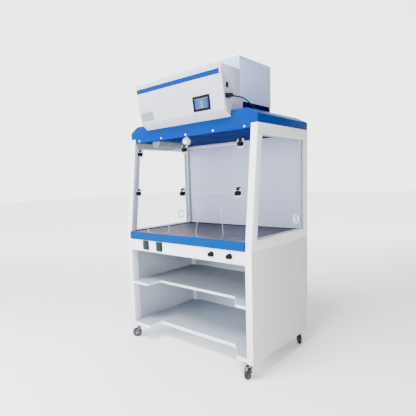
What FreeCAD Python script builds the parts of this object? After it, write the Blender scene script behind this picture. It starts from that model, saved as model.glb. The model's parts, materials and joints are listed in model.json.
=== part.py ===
import FreeCAD, Part
import math
import os
from types import SimpleNamespace
import Sketcher

# A ductless fume hood on castors: a double-skinned base with two shelves, a
# glazed work chamber with a folding front, and a filter and fan unit on top.
# Millimetres. +Z is up, +X is the hood's right side, and the front faces -Y.
# Heights count from the floor. Depths are given from the front plane of the
# base, and every piece is then moved by front_place, so that the origin lies
# at the bottom centre of the hood.

DRIVING_SIZES = {
    # overall
    "hood_width": 1200, "hood_depth": 770, "castor_height": 105,
    "base_height": 730, "upper_height": 792, "front_setback": 93,
    "sheet": 2, "fit_gap": 0.3, "shaft_fit": 0.05,
    # base
    "post_face": 48, "post_return": 65, "liner_step": 8, "rear_post_reach": 83,
    "rear_post_depth": 35, "rear_panel_depth": 15,
    "bottom_lip": 28, "middle_lip": 18,
    "bottom_shelf_rise": 37, "middle_shelf_rise": 380, "knee_depth": 135,
    "knee_left_end": 176, "knee_right_end": 81, "knee_slant": 105,
    "apron_height": 88, "apron_flange": 40, "apron_return": 15,
    "trim_height": 59, "trim_stand": 8, "trim_top": 12, "trim_edge": 14,
    "trim_nose": 5.6, "trim_ease": 2.4,
    # chamber
    "top_rise": 56, "rim_height": 6, "rim_width": 12, "rim_start": 45,
    "front_stile": 58, "rear_stile": 57, "bottom_rail": 65, "top_rail": 71,
    "pane": 5, "pane_inset": 15, "port_margin": 88, "port_rise": 92,
    "port_bore": 29, "port_flange": 38, "port_sleeve": 3, "port_lip": 4,
    "back_wall": 34,
    # header
    "header_side": 55, "header_rise": 42, "header_chamfer": 80,
    "fascia_drop": 30, "ceiling_drop": 27, "ceiling_tray": 26, "ceiling_front": 22,
    "intake_width": 700, "intake_front": 250, "intake_length": 320,
    "slot_pitch": 32, "slot_width": 14, "slot_end": 30,
    # lamp and sensor
    "lamp_margin": 188, "lamp_front": 150, "lamp_length": 290, "lamp_radius": 38,
    "lamp_side": 8, "lamp_cap": 7, "lamp_cap_proud": 3,
    "sensor_x": 30, "sensor_back": 137, "sensor_radius": 29, "sensor_neck": 12,
    "sensor_drop": 30, "sensor_facets": 7,
    # folding front
    "sash_inset": 8, "sash_side_gap": 4, "sash_foot": 62, "lower_hinge": 389,
    "hinge_drop": 97.44, "hinge_proud": 9, "panel_drop": 22, "panel_gap": 2, "strip_drop": 5.44,
    "hinge_margin": 72, "barrel_radius": 6, "barrel_half": 15, "ear_width": 6,
    "leaf_length": 50, "leaf_top": 8, "leaf_thickness": 4, "pin_radius": 2.5,
    "block_plate": 14, "knob_drop": 27, "knob_radius": 17, "knob_height": 17,
    "knob_stem": 4, "knob_lobe": 6, "knob_core": 14, "knob_lobes": 5, "stem_play": 0.5,
    "boss_radius": 8, "boss_height": 5,
    "arm_centre": 250, "arm_foot": 3, "arm_height": 205, "arm_top_half": 90,
    "arm_foot_half": 124, "arm_radius": 32,
    # filter and fan unit
    "unit_width": 800, "unit_front": 200, "unit_rear": 590, "unit_height": 288,
    "unit_flange": 25,
    "tray_height": 74, "tray_inset": 3, "tray_front": 231, "tray_wall": 3,
    "filter_gap": 7, "filter_height": 66,
    "exhaust_radius": 143, "grille_rim": 150, "grille_thick": 3, "grille_rings": 5,
    "grille_spokes": 6, "grille_bar": 6, "grille_ring_width": 5,
    "blower_plate_rise": 32, "inlet_radius": 88, "inlet_flare": 14,
    "wheel_radius": 150, "wheel_rise": 12, "wheel_height": 96, "blade_count": 9,
    "blade_thick": 2.5, "blade_bend": 115, "blade_swing": 92, "blade_start": 40, "blade_arc": 100,
    "hub_radius": 26, "hub_depth": 32, "shaft_reach": 48, "motor_radius": 62,
    "motor_height": 48, "shaft_radius": 6, "post_spread": 165, "post_radius": 6,
    # control box
    "chin_rise": 43, "chin_reach": 57, "control_height": 313, "control_lean": 42,
    "hook_height": 2, "screen_margin": 112, "screen_width": 148, "screen_rise": 12,
    "screen_height": 98, "screen_stand": 3, "screen_bezel": 8, "screen_round": 4,
    "screen_recess": 1.2, "switch_setback": 23, "switch_rise": 192, "switch_width": 24,
    "switch_height": 32, "inlet_setback": 26, "inlet_rise": 126, "inlet_width": 50,
    "inlet_height": 28,
    "mouth_width": 25, "mouth_height": 17, "mouth_depth": 18, "entry_rim_y": 4,
    "entry_rim_z": 3, "switch_rim": 2, "nose_length": 15,
    "plate_stand": 2.5, "socket_deep": 26, "rocker_width": 14, "rocker_height": 22,
    "rocker_stand": 3, "rocker_dish": 1, "rocker_depth": 6.5, "rocker_keel": 8.7, "rocker_gap": 0.5,
    # services on the apron
    "socket_margin": 184, "socket_pitch": 149, "socket_width": 56, "socket_tall": 72,
    "socket_top": 3, "socket_box_width": 44, "socket_box_tall": 52,
    "socket_box_deep": 38, "socket_frame": 5, "cover_width": 50, "cover_tall": 64,
    "cover_thick": 11, "cover_wall": 2, "cover_pin": 1.5,
    "cover_barrel": 3.5, "outlet_radius": 20, "outlet_depth": 19, "valve_margin": 117,
    "valve_pitch": 149, "valve_drop": 40, "valve_flutes": 8, "flute_radius": 3.8, "flute_orbit": 18,
    "grip_front": 15.2, "grip_back": 16.7, "valve_radius": 19, "valve_height": 22, "valve_gap": 6, "valve_stem": 4,
    "valve_body": 13, "valve_body_length": 42, "valve_hex": 17,
    # castors
    "castor_inset": 55, "castor_back": 45, "castor_plate": 64, "castor_sheet": 3,
    "race_radius": 22, "race_height": 8, "trail": 28, "tyre_radius": 37.5,
    "tyre_half": 12, "tyre_round": 5, "fork_half": 15.5, "fork_sheet": 2.5,
    "fork_top": 23, "fork_front": 14.3, "fork_back": 17.2, "leg_boss": 8.8, "leg_waist": 5.3,
    "wheel_hub": 9.6, "wheel_dish": 25.5, "dish_depth": 2.5, "axle_end": 1, "axle_radius": 4, "pedal_pivot": 16, "pedal_drop": 9,
    "pedal_bend": 42, "pedal_tip": 65.5, "pedal_fall": 19, "pedal_half": 11,
    "pedal_sheet": 2, "pedal_pin": 2, "pedal_barrel": 4,
    # mains lead
    "lead_radius": 4, "lead_sides": 12, "connector_long": 34, "connector_wide": 26,
    "connector_tall": 22, "relief_length": 30, "relief_end": 4.6, "relief_root": 8,
    "plug_long": 32, "plug_wide": 34, "plug_tall": 26, "blade_long": 16,
    "blade_wide": 6.3, "blade_sheet": 1.5, "blade_pitch": 12.7, "earth_pin": 2.4,
}

UNIT = SimpleNamespace(x=FreeCAD.Vector(1, 0, 0), y=FreeCAD.Vector(0, 1, 0), z=FreeCAD.Vector(0, 0, 1))

doc = FreeCAD.newDocument("fume_hood")
sheet = doc.addObject("Spreadsheet::Sheet", "sizes")
sub_parts = {}


class Size:
    """A number together with the sheet expression that it comes from."""

    def __init__(self, number, text):
        self.number = float(number)
        self.text = text

    def joined(self, other, sign, number):
        return Size(number, "(%s %s %s)" % (self.text, sign, other.text))

    def __add__(self, other):
        other = as_size(other)
        return self.joined(other, "+", self.number + other.number)

    def __sub__(self, other):
        other = as_size(other)
        return self.joined(other, "-", self.number - other.number)

    def __mul__(self, other):
        other = as_size(other)
        return self.joined(other, "*", self.number * other.number)

    def __truediv__(self, other):
        other = as_size(other)
        return self.joined(other, "/", self.number / other.number)

    def __radd__(self, other):
        return as_size(other) + self

    def __rsub__(self, other):
        return as_size(other) - self

    def __rmul__(self, other):
        return as_size(other) * self

    def __neg__(self):
        return Size(-self.number, "(0 - %s)" % self.text)


def as_size(value):
    if isinstance(value, Size):
        return value
    return Size(value, repr(float(value)))


def fill_sheet():
    """Write the driving sizes to the sheet and give them back as Size values."""
    values = {}
    for row, (name, number) in enumerate(DRIVING_SIZES.items(), start=1):
        sheet.set("A%d" % row, name)
        sheet.set("B%d" % row, str(number))
        sheet.setAlias("B%d" % row, name)
        values[name] = Size(number, "sizes." + name)
    doc.recompute()
    return SimpleNamespace(**values)


at = fill_sheet()

# Levels and faces worked out from the driving sizes.
half_width = at.hood_width / 2
inner_half = half_width - at.post_face
liner_half = inner_half + at.liner_step
seam_z = at.castor_height + at.base_height
header_z = seam_z + at.upper_height
shoulder_z = header_z + at.header_side
roof_z = shoulder_z + at.header_rise
ceiling_z = header_z - at.ceiling_drop
table_z = seam_z + at.top_rise
rear_wall = at.hood_depth - at.back_wall
bottom_shelf_z = at.castor_height + at.bottom_shelf_rise
middle_shelf_z = at.castor_height + at.middle_shelf_rise
unit_half = at.unit_width / 2
tray_half = unit_half - at.tray_inset
unit_z = roof_z + at.tray_height
unit_top = unit_z + at.unit_height
fan_y = (at.unit_front + at.unit_rear) / 2
lamp_x = inner_half - at.lamp_margin
hinge_reach = inner_half - at.hinge_margin
valve_reach = at.valve_gap + at.valve_height
front_place = (valve_reach - at.hood_depth) / 2
slope_length = Size(
    (at.upper_height.number ** 2 + at.front_setback.number ** 2) ** 0.5,
    "sqrt(sizes.upper_height ^ 2 + sizes.front_setback ^ 2)",
)
upper_hinge = slope_length - at.hinge_drop
strip_top = slope_length - at.strip_drop


def bind(item, name, value):
    item.setExpression(name, as_size(value).text)


def keep(item, label, lean=None, base=None):
    """Name a finished sub-part and put it in its place on the hood."""
    item.Label = label
    base = base or (0, 0, 0)
    if lean:
        item.Placement = FreeCAD.Placement(FreeCAD.Vector(), FreeCAD.Rotation(UNIT.x, 5))
        item.setExpression("Placement.Rotation.Angle", lean)
    bind(item, "Placement.Base.x", base[0])
    bind(item, "Placement.Base.y", front_place + base[1])
    bind(item, "Placement.Base.z", base[2])
    sub_parts[label] = item
    return item


def lean_back(item, label):
    """Put a piece that is drawn upright into the leaning front of the chamber."""
    angle = "-atan(sizes.front_setback / sizes.upper_height)"
    return keep(item, label, angle, (0, 0, seam_z))


# Primitives and booleans

def box(name, x, y, z):
    item = doc.addObject("Part::Box", name)
    for axis, size, (low, high) in zip("xyz", ("Length", "Width", "Height"), (x, y, z)):
        bind(item, size, high - as_size(low))
        bind(item, "Placement.Base." + axis, low)
    return item


AXIS_TURN = {
    "x": FreeCAD.Rotation(UNIT.y, 90),
    "y": FreeCAD.Rotation(UNIT.x, -90),
    "z": FreeCAD.Rotation(),
}


def rod(name, radius, start, length, axis="z"):
    """A cylinder that starts at a point and runs along +X, +Y or +Z."""
    item = doc.addObject("Part::Cylinder", name)
    item.Placement = FreeCAD.Placement(FreeCAD.Vector(), AXIS_TURN[axis])
    bind(item, "Radius", radius)
    bind(item, "Height", length)
    for letter, value in zip("xyz", start):
        bind(item, "Placement.Base." + letter, value)
    return item


def taper(name, radius_low, radius_high, start, length, axis="z"):
    item = doc.addObject("Part::Cone", name)
    item.Placement = FreeCAD.Placement(FreeCAD.Vector(), AXIS_TURN[axis])
    bind(item, "Radius1", radius_low)
    bind(item, "Radius2", radius_high)
    bind(item, "Height", length)
    for letter, value in zip("xyz", start):
        bind(item, "Placement.Base." + letter, value)
    return item


def fuse(name, *pieces):
    item = doc.addObject("Part::MultiFuse", name)
    item.Shapes = list(pieces)
    item.Refine = True
    return item


def cut(name, base, *tools):
    tool = tools[0] if len(tools) == 1 else fuse(name + "_tools", *tools)
    item = doc.addObject("Part::Cut", name)
    item.Base = base
    item.Tool = tool
    return item


def group(name, *pieces):
    item = doc.addObject("Part::Compound", name)
    item.Links = list(pieces)
    return item


def ring(name, outer, inner, start, length, axis="z"):
    return cut(name, rod(name + "_outer", outer, start, length, axis),
               rod(name + "_bore", inner, start, length, axis))


# Bodies with sketches

SKETCH_SIDE = {"XY": ("XY_Plane", 1), "XZ": ("XZ_Plane", -1), "YZ": ("YZ_Plane", 1)}


def sketch(body, plane, level):
    """A sketch on an origin plane. XZ sketches look along +Y, so their normal is -Y."""
    role, side = SKETCH_SIDE[plane]
    item = body.newObject("Sketcher::SketchObject", body.Name + "_sketch")
    support = [f for f in body.Origin.OriginFeatures if f.Role == role][0]
    item.AttachmentSupport = [(support, "")]
    item.MapMode = "FlatFace"
    bind(item, "AttachmentOffset.Base.z", level if side == 1 else -as_size(level))
    return item


def fix_point(item, line, end, point):
    for kind, value in zip(("DistanceX", "DistanceY"), point):
        value = as_size(value)
        index = item.addConstraint(Sketcher.Constraint(kind, -1, 1, line, end, value.number))
        item.setExpression("Constraints[%d]" % index, value.text)


def outline(item, points):
    """A closed polygon with every corner bound to the sizes."""
    first = item.GeometryCount
    corners = [FreeCAD.Vector(as_size(a).number, as_size(b).number, 0) for a, b in points]
    count = len(points)
    for index in range(count):
        item.addGeometry(Part.LineSegment(corners[index], corners[(index + 1) % count]), False)
    for index in range(count):
        after = first + (index + 1) % count
        item.addConstraint(Sketcher.Constraint("Coincident", first + index, 2, after, 1))
    for index, point in enumerate(points):
        fix_point(item, first + index, 1, point)


def hole(item, centre, radius):
    """A circle with its centre and radius bound to the sizes."""
    radius = as_size(radius)
    middle = FreeCAD.Vector(as_size(centre[0]).number, as_size(centre[1]).number, 0)
    line = item.addGeometry(Part.Circle(middle, UNIT.z, radius.number), False)
    fix_point(item, line, 3, centre)
    index = item.addConstraint(Sketcher.Constraint("Radius", line, radius.number))
    item.setExpression("Constraints[%d]" % index, radius.text)


def pad(body, plane, low, high, points=None, circles=()):
    """Pad an outline from the low level to the high one along the plane's axis."""
    start = high if plane == "XZ" else low
    item = sketch(body, plane, start)
    if points:
        outline(item, points)
    for centre, radius in circles:
        hole(item, centre, radius)
    feature = body.newObject("PartDesign::Pad", body.Name + "_pad")
    feature.Profile = item
    bind(feature, "Length", as_size(high) - low)
    doc.recompute()
    return feature


def pocket(body, plane, low, high, points=None, circles=()):
    """Cut an outline out of the body between two levels."""
    start = low if plane == "XZ" else high
    item = sketch(body, plane, start)
    if points:
        outline(item, points)
    for centre, radius in circles:
        hole(item, centre, radius)
    before = body.Shape.Volume
    feature = body.newObject("PartDesign::Pocket", body.Name + "_pocket")
    feature.Profile = item
    bind(feature, "Length", as_size(high) - low)
    doc.recompute()
    if not feature.Shape.Volume < before:
        raise RuntimeError("%s: a pocket removes nothing" % body.Label)
    return feature


def rectangle(a, b):
    return [(a[0], b[0]), (a[1], b[0]), (a[1], b[1]), (a[0], b[1])]


def new_body(name):
    return doc.addObject("PartDesign::Body", name)


def hollow(body, thickness, *levels):
    """Shell the body inwards and leave open the flat faces that lie at the levels."""
    base = body.Tip
    opened = []
    for level in levels:
        for index, face in enumerate(base.Shape.Faces, start=1):
            size = face.BoundBox
            if abs(size.ZMin - level.number) < 0.01 and abs(size.ZMax - level.number) < 0.01:
                opened.append("Face%d" % index)
    if not opened:
        raise RuntimeError("%s: no face to open" % body.Label)
    feature = body.newObject("PartDesign::Thickness", body.Name + "_shell")
    feature.Base = (base, opened)
    feature.Reversed = True
    feature.Join = 1
    bind(feature, "Value", thickness)
    doc.recompute()
    return feature


def rounded(body, radius, axis, *corners):
    """Fillet the edges that run along an axis through the given corners."""
    base = body.Tip
    first, second = [letter for letter in "XYZ" if letter != axis.upper()]
    chosen = []
    for index, edge in enumerate(base.Shape.Edges, start=1):
        size = edge.BoundBox
        for a, b in corners:
            near = (
                abs(getattr(size, first + "Min") - as_size(a).number) < 0.01
                and abs(getattr(size, first + "Max") - as_size(a).number) < 0.01
                and abs(getattr(size, second + "Min") - as_size(b).number) < 0.01
                and abs(getattr(size, second + "Max") - as_size(b).number) < 0.01
            )
            if near:
                chosen.append("Edge%d" % index)
    if not chosen:
        raise RuntimeError("%s: no edge to round" % body.Label)
    feature = body.newObject("PartDesign::Fillet", body.Name + "_fillet")
    feature.Base = (base, chosen)
    bind(feature, "Radius", radius)
    doc.recompute()
    return feature


SIDES = (("left", -1), ("right", 1))


# Base

def base_sides():
    """Double-skinned side walls with the front post and the rear post folded on."""
    for side, sign in SIDES:
        body = new_body("base_side_" + side)
        outer, face, liner = sign * half_width, sign * inner_half, sign * liner_half
        reach = sign * (half_width - at.rear_post_reach)
        post_y = at.hood_depth - at.rear_post_depth
        pad(body, "XY", at.castor_height, seam_z, [
            (outer, 0), (outer, at.hood_depth), (reach, at.hood_depth), (reach, post_y),
            (liner, post_y), (liner, at.post_return), (face, at.post_return), (face, 0),
        ])
        hollow(body, at.sheet, seam_z)
        keep(body, "base_side_" + side)


def base_rear_panel():
    body = new_body("base_rear_panel")
    half = half_width - at.rear_post_reach
    pad(body, "XZ", at.hood_depth - at.rear_panel_depth, at.hood_depth,
        rectangle((-half, half), (at.castor_height, seam_z)))
    hollow(body, at.sheet, at.castor_height)
    keep(body, "base_rear_panel")


def shelves():
    """Two folded shelves with the same knee recess in the front edge."""
    rear = at.hood_depth - at.rear_panel_depth
    post_y = at.hood_depth - at.rear_post_depth
    post_x = half_width - at.rear_post_reach
    left = -inner_half + at.knee_left_end
    right = inner_half - at.knee_right_end
    corners = [
        (-inner_half, 0), (left, 0), (left, at.knee_depth),
        (right - at.knee_slant, at.knee_depth), (right, 0), (inner_half, 0),
        (inner_half, at.post_return), (liner_half, at.post_return), (liner_half, post_y),
        (post_x, post_y), (post_x, rear), (-post_x, rear), (-post_x, post_y),
        (-liner_half, post_y), (-liner_half, at.post_return), (-inner_half, at.post_return),
    ]
    for name, top, lip in (("bottom_shelf", bottom_shelf_z, at.bottom_lip),
                           ("middle_shelf", middle_shelf_z, at.middle_lip)):
        body = new_body(name)
        pad(body, "XY", top - lip, top, corners)
        hollow(body, at.sheet, top - lip)
        keep(body, name)


def socket_x(index):
    return -inner_half + at.socket_margin + at.socket_pitch * index


def valve_x(index):
    return inner_half - at.valve_margin - at.valve_pitch * (1 - index)


socket_top_z = seam_z - at.socket_top
socket_mid_z = socket_top_z - at.socket_tall / 2
valve_z = seam_z - at.valve_drop


def front_apron():
    """Folded cross rail under the worktop, pierced for the sockets and the valve stems."""
    body = new_body("front_apron")
    foot = seam_z - at.apron_height
    pad(body, "YZ", -inner_half, inner_half, [
        (0, foot), (at.apron_return, foot), (at.apron_return, foot + at.sheet),
        (at.sheet, foot + at.sheet), (at.sheet, seam_z - at.sheet),
        (at.apron_flange, seam_z - at.sheet), (at.apron_flange, seam_z), (0, seam_z),
    ])
    half = at.socket_box_width / 2 + at.fit_gap
    tall = at.socket_box_tall / 2 + at.fit_gap
    for index in range(2):
        x = socket_x(index)
        pocket(body, "XZ", 0, at.sheet,
               rectangle((x - half, x + half), (socket_mid_z - tall, socket_mid_z + tall)))
    stem = at.valve_stem + at.fit_gap
    pocket(body, "XZ", 0, at.sheet, circles=[((valve_x(i), valve_z), stem) for i in range(2)])
    keep(body, "front_apron")


def sill_trim():
    body = new_body("sill_trim")
    low = seam_z
    high = low + at.trim_height
    front = -at.trim_stand
    pad(body, "YZ", -inner_half, inner_half, [
        (front, low), (0, low), (0, high - at.trim_edge), (at.trim_top, high - at.trim_edge),
        (at.trim_top, high), (front, high),
    ])
    rounded(body, at.trim_nose, "x", (front, high))
    rounded(body, at.trim_ease, "x", (front, low))
    keep(body, "sill_trim")


def work_surface():
    """Worktop tray with a raised rim along the walls that keeps spills in."""
    body = new_body("work_surface")
    pad(body, "XY", seam_z, table_z, rectangle((-inner_half, inner_half), (at.trim_top, rear_wall)))
    hollow(body, at.sheet, seam_z)
    half, inside = inner_half, inner_half - at.rim_width
    pad(body, "XY", table_z, table_z + at.rim_height, [
        (-half, at.rim_start), (-inside, at.rim_start), (-inside, rear_wall - at.rim_width),
        (inside, rear_wall - at.rim_width), (inside, at.rim_start), (half, at.rim_start),
        (half, rear_wall), (-half, rear_wall),
    ])
    keep(body, "work_surface")


# Chamber

window_low = seam_z + at.bottom_rail
window_high = header_z - at.top_rail
window_rear = at.hood_depth - at.rear_stile


def front_line(z):
    """Depth of the leaning front plane at a height."""
    return at.front_setback * (z - seam_z) / at.upper_height


window_corners = [
    (front_line(window_low) + at.front_stile, window_low), (window_rear, window_low),
    (window_rear, window_high), (front_line(window_high) + at.front_stile, window_high),
]


def side_frames():
    for side, sign in SIDES:
        body = new_body("side_frame_" + side)
        inner, outer = sorted((sign * inner_half, sign * half_width), key=lambda s: s.number)
        pad(body, "YZ", inner, outer, [
            (0, seam_z), (at.hood_depth, seam_z), (at.hood_depth, header_z),
            (at.front_setback, header_z),
        ])
        pocket(body, "YZ", inner, outer, window_corners)
        hollow(body, at.sheet, seam_z, header_z)
        keep(body, "side_frame_" + side)


port_y = window_rear - at.port_margin
port_z = seam_z + at.port_rise + at.top_rise
pane_out = half_width - at.pane_inset
pane_in = pane_out - at.pane


def side_windows():
    panes = []
    for side, sign in SIDES:
        body = new_body("side_window_" + side)
        low, high = sorted((sign * pane_in, sign * pane_out), key=lambda s: s.number)
        hole_radius = at.port_bore + at.port_sleeve + at.fit_gap
        pad(body, "YZ", low, high, window_corners, [((port_y, port_z), hole_radius)])
        panes.append(body)
    keep(group("side_window_pair", *panes), "side_windows")


def port_rings():
    """White cable ports: a sleeve through the pane with a flange on each face."""
    rings = []
    for side, sign in SIDES:
        name = "port_" + side
        low, high = sorted((sign * pane_in, sign * pane_out), key=lambda s: s.number)
        start = low - at.port_lip
        sleeve = rod(name + "_sleeve", at.port_bore + at.port_sleeve,
                     (start, port_y, port_z), high - low + 2 * at.port_lip, "x")
        near = rod(name + "_near", at.port_flange, (start, port_y, port_z), at.port_lip, "x")
        far = rod(name + "_far", at.port_flange, (high, port_y, port_z), at.port_lip, "x")
        bore = rod(name + "_bore", at.port_bore, (start, port_y, port_z),
                   high - low + 2 * at.port_lip, "x")
        rings.append(cut(name, fuse(name + "_solid", sleeve, near, far), bore))
    keep(group("port_pair", *rings), "port_rings")


def chamber_back_panel():
    body = new_body("chamber_back_panel")
    pad(body, "XZ", rear_wall, at.hood_depth, rectangle((-inner_half, inner_half), (seam_z, header_z)))
    hollow(body, at.sheet, seam_z)
    keep(body, "chamber_back_panel")


# Header

def header_cap():
    """Blue cover with sloping shoulders, a drop fascia and the intake cut-out in its roof."""
    body = new_body("header_cap")
    front = at.front_setback
    top_half = half_width - at.header_chamfer
    pad(body, "XZ", front, at.hood_depth, [
        (-half_width, header_z), (half_width, header_z), (half_width, shoulder_z),
        (top_half, roof_z), (-top_half, roof_z), (-half_width, shoulder_z),
    ])
    hollow(body, at.sheet, header_z)
    drop = header_z - at.fascia_drop
    half = inner_half - at.fit_gap
    pad(body, "XZ", front, front + at.sheet, rectangle((-half, half), (drop, header_z + at.sheet)))
    intake = at.intake_width / 2
    rear = at.intake_front + at.intake_length
    pocket(body, "XY", roof_z - at.sheet, roof_z, rectangle((-intake, intake), (at.intake_front, rear)))
    keep(body, "header_cap")


def ceiling_panel():
    """Tray that closes the chamber, with rows of intake slots under the filter."""
    body = new_body("ceiling_panel")
    front = at.front_setback + at.ceiling_front
    pad(body, "XY", ceiling_z, ceiling_z + at.ceiling_tray,
        rectangle((-inner_half, inner_half), (front, rear_wall)))
    hollow(body, at.sheet, ceiling_z + at.ceiling_tray)
    half = at.intake_width / 2
    count = int((at.intake_length.number - at.slot_width.number) // at.slot_pitch.number) + 1
    slot_sketch = sketch(body, "XY", ceiling_z + at.sheet)
    for index in range(count):
        y = at.intake_front + at.slot_pitch * index
        for low, high in ((-half, -at.slot_end), (at.slot_end, half)):
            outline(slot_sketch, rectangle((low, high), (y, y + at.slot_width)))
    feature = body.newObject("PartDesign::Pocket", "intake_slots")
    feature.Profile = slot_sketch
    bind(feature, "Length", at.sheet)
    doc.recompute()
    keep(body, "ceiling_panel")


def work_lamp():
    """D-shaped luminaire under the ceiling, with an end cap at each end."""
    pieces = []
    top = ceiling_z
    side_z = top - at.lamp_side
    rear = at.lamp_front + at.lamp_length
    spans = (
        ("lamp_body", at.lamp_radius, at.lamp_front, rear),
        ("lamp_cap_front", at.lamp_radius + at.lamp_cap_proud, at.lamp_front - at.lamp_cap, at.lamp_front),
        ("lamp_cap_rear", at.lamp_radius + at.lamp_cap_proud, rear, rear + at.lamp_cap),
    )
    for name, radius, low, high in spans:
        upper = box(name + "_top", (-lamp_x - radius, -lamp_x + radius), (low, high), (side_z, top))
        barrel = rod(name + "_barrel", radius, (-lamp_x, low, side_z), high - low, "y")
        lower = box(name + "_below", (-lamp_x - radius, -lamp_x + radius), (low, high),
                    (side_z - radius, side_z))
        half = doc.addObject("Part::MultiCommon", name + "_half")
        half.Shapes = [barrel, lower]
        pieces.append(fuse(name, upper, half))
    keep(group("lamp_set", *pieces), "work_lamp")


def airflow_sensor():
    """Round white sensor head on a short neck under the ceiling, turned with flat bands."""
    body = new_body("sensor_head")
    item = sketch(body, "XZ", 0)
    bands = int(at.sensor_facets.number)
    neck_rise = (at.sensor_radius.number ** 2 - at.sensor_neck.number ** 2) ** 0.5
    top_turn = math.degrees(math.acos(neck_rise / at.sensor_radius.number))
    points = [(0, -at.sensor_radius)]
    for index in range(1, bands + 1):
        turn = (180 - top_turn) * index / bands
        points.append((at.sensor_radius * math.sin(math.radians(turn)),
                       -at.sensor_radius * math.cos(math.radians(turn))))
    points += [(at.sensor_neck, at.sensor_drop), (0, at.sensor_drop)]
    outline(item, points)
    feature = body.newObject("PartDesign::Revolution", "sensor_turned")
    feature.Profile = item
    feature.ReferenceAxis = (item, ["V_Axis"])
    doc.recompute()
    keep(body, "airflow_sensor", base=(-at.sensor_x, at.sensor_back, ceiling_z - at.sensor_drop))


# Folding front, drawn upright with Y = 0 on the front plane of the posts

pane_face = at.sash_inset
pane_back = at.sash_inset + at.pane
hinge_y = at.sash_inset - at.hinge_proud
hinge_columns = (("left", -1), ("middle", 0), ("right", 1))
hinge_rows = (("top", upper_hinge), ("mid", at.lower_hinge))


def knob_z(level):
    return level - at.knob_drop


def stem_holes(level):
    radius = at.knob_stem + at.stem_play
    return [((hinge_reach * sign, knob_z(level)), radius) for _, sign in hinge_columns]


def front_strip():
    body = new_body("front_strip")
    pad(body, "XZ", pane_face, pane_back, rectangle(
        (-inner_half, inner_half), (upper_hinge - at.panel_drop + at.panel_gap, strip_top)))
    lean_back(body, "front_strip")


def upper_sash():
    body = new_body("upper_sash")
    half = inner_half - at.sash_side_gap
    low = at.lower_hinge - at.panel_drop + at.panel_gap
    high = upper_hinge - at.panel_drop
    pad(body, "XZ", pane_face, pane_back, rectangle((-half, half), (low, high)),
        stem_holes(upper_hinge))
    rounded(body, at.pane, "y", (-half, high), (half, high), (-half, low), (half, low))
    lean_back(body, "upper_sash")


def lower_sash():
    """Lower panel with two arm openings, wider at the foot."""
    body = new_body("lower_sash")
    half = inner_half - at.sash_side_gap
    high = at.lower_hinge - at.panel_drop
    pad(body, "XZ", pane_face, pane_back, rectangle((-half, half), (at.sash_foot, high)),
        stem_holes(at.lower_hinge))
    low_z = at.sash_foot + at.arm_foot
    high_z = low_z + at.arm_height
    corners = []
    for sign in (-1, 1):
        middle = at.arm_centre * sign
        points = [
            (middle - at.arm_foot_half, low_z), (middle + at.arm_foot_half, low_z),
            (middle + at.arm_top_half, high_z), (middle - at.arm_top_half, high_z),
        ]
        pocket(body, "XZ", pane_face, pane_back, points)
        corners += points
    rounded(body, at.arm_radius, "y", *corners)
    rounded(body, at.pane, "y", (-half, high), (half, high), (-half, at.sash_foot), (half, at.sash_foot))
    lean_back(body, "lower_sash")


def hinge_blocks(name, level):
    """Black hinge blocks: a plate on the upper pane, a barrel and the pin."""
    blocks = []
    for column, sign in hinge_columns:
        x = hinge_reach * sign
        part = "%s_%s" % (name, column)
        half = at.barrel_half
        plate = box(part + "_plate", (x - half, x + half), (hinge_y, pane_face),
                    (level, level + at.block_plate))
        barrel = rod(part + "_barrel", at.barrel_radius, (x - half, hinge_y, level), 2 * half, "x")
        reach = half + at.fit_gap + at.ear_width
        pin = rod(part + "_pin", at.pin_radius, (x - reach, hinge_y, level), 2 * reach, "x")
        blocks.append(fuse(part, plate, barrel, pin))
    lean_back(group(name + "_set", *blocks), name)


def hinge_leaves(name, level):
    """Lower hinge leaves: two ears on the pin, a plate on the lower pane and the knob's boss."""
    leaves = []
    for column, sign in hinge_columns:
        x = hinge_reach * sign
        part = "%s_%s" % (name, column)
        inner = at.barrel_half + at.fit_gap
        outer = inner + at.ear_width
        face = pane_face - at.leaf_thickness
        foot = level - at.leaf_length
        plate = box(part + "_plate", (x - outer, x + outer), (face, pane_face), (foot, level - at.leaf_top))
        boss = rod(part + "_boss", at.boss_radius, (x, face - at.boss_height, knob_z(level)),
                   at.boss_height, "y")
        pieces = [plate, boss]
        for low in (x - outer, x + inner):
            high = low + at.ear_width
            pieces.append(rod("%s_ear" % part, at.barrel_radius, (low, hinge_y, level), at.ear_width, "x"))
            pieces.append(box("%s_web" % part, (low, high), (hinge_y - at.pin_radius, face + at.leaf_thickness),
                              (level - at.leaf_top - at.leaf_thickness, level)))
        solid = fuse(part + "_solid", *pieces)
        pin_hole = rod(part + "_pin_hole", at.pin_radius + at.shaft_fit, (x - outer, hinge_y, level),
                       2 * outer, "x")
        stem_hole = rod(part + "_stem_hole", at.knob_stem + at.shaft_fit,
                        (x, face - at.boss_height, knob_z(level)), at.boss_height + at.leaf_thickness, "y")
        leaves.append(cut(part, solid, pin_hole, stem_hole))
    lean_back(group(name + "_set", *leaves), name)


def star_knobs():
    """Five-lobed clamping knobs, one through each hinge leaf."""
    for row, level in hinge_rows:
        for column, sign in hinge_columns:
            name = "star_knob_%s_%s" % (row, column)
            x = hinge_reach * sign
            z = knob_z(level)
            back = pane_face - at.leaf_thickness - at.boss_height - at.fit_gap
            front = back - at.knob_height
            tip = pane_back + at.sheet
            pieces = [
                rod(name + "_core", at.knob_core, (x, front, z), at.knob_height, "y"),
                rod(name + "_stem", at.knob_stem, (x, back, z), tip - back, "y"),
            ]
            lobes = int(at.knob_lobes.number)
            for index in range(lobes):
                turn = FreeCAD.Rotation(UNIT.y, 360 * index / lobes).multVec(UNIT.z)
                orbit = at.knob_radius - at.knob_lobe
                lobe = rod(name + "_lobe", at.knob_lobe,
                           (x + orbit * turn.x, front, z + orbit * turn.z), at.knob_height, "y")
                pieces.append(lobe)
            lean_back(fuse(name, *pieces), name)


# Filter and fan unit

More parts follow.
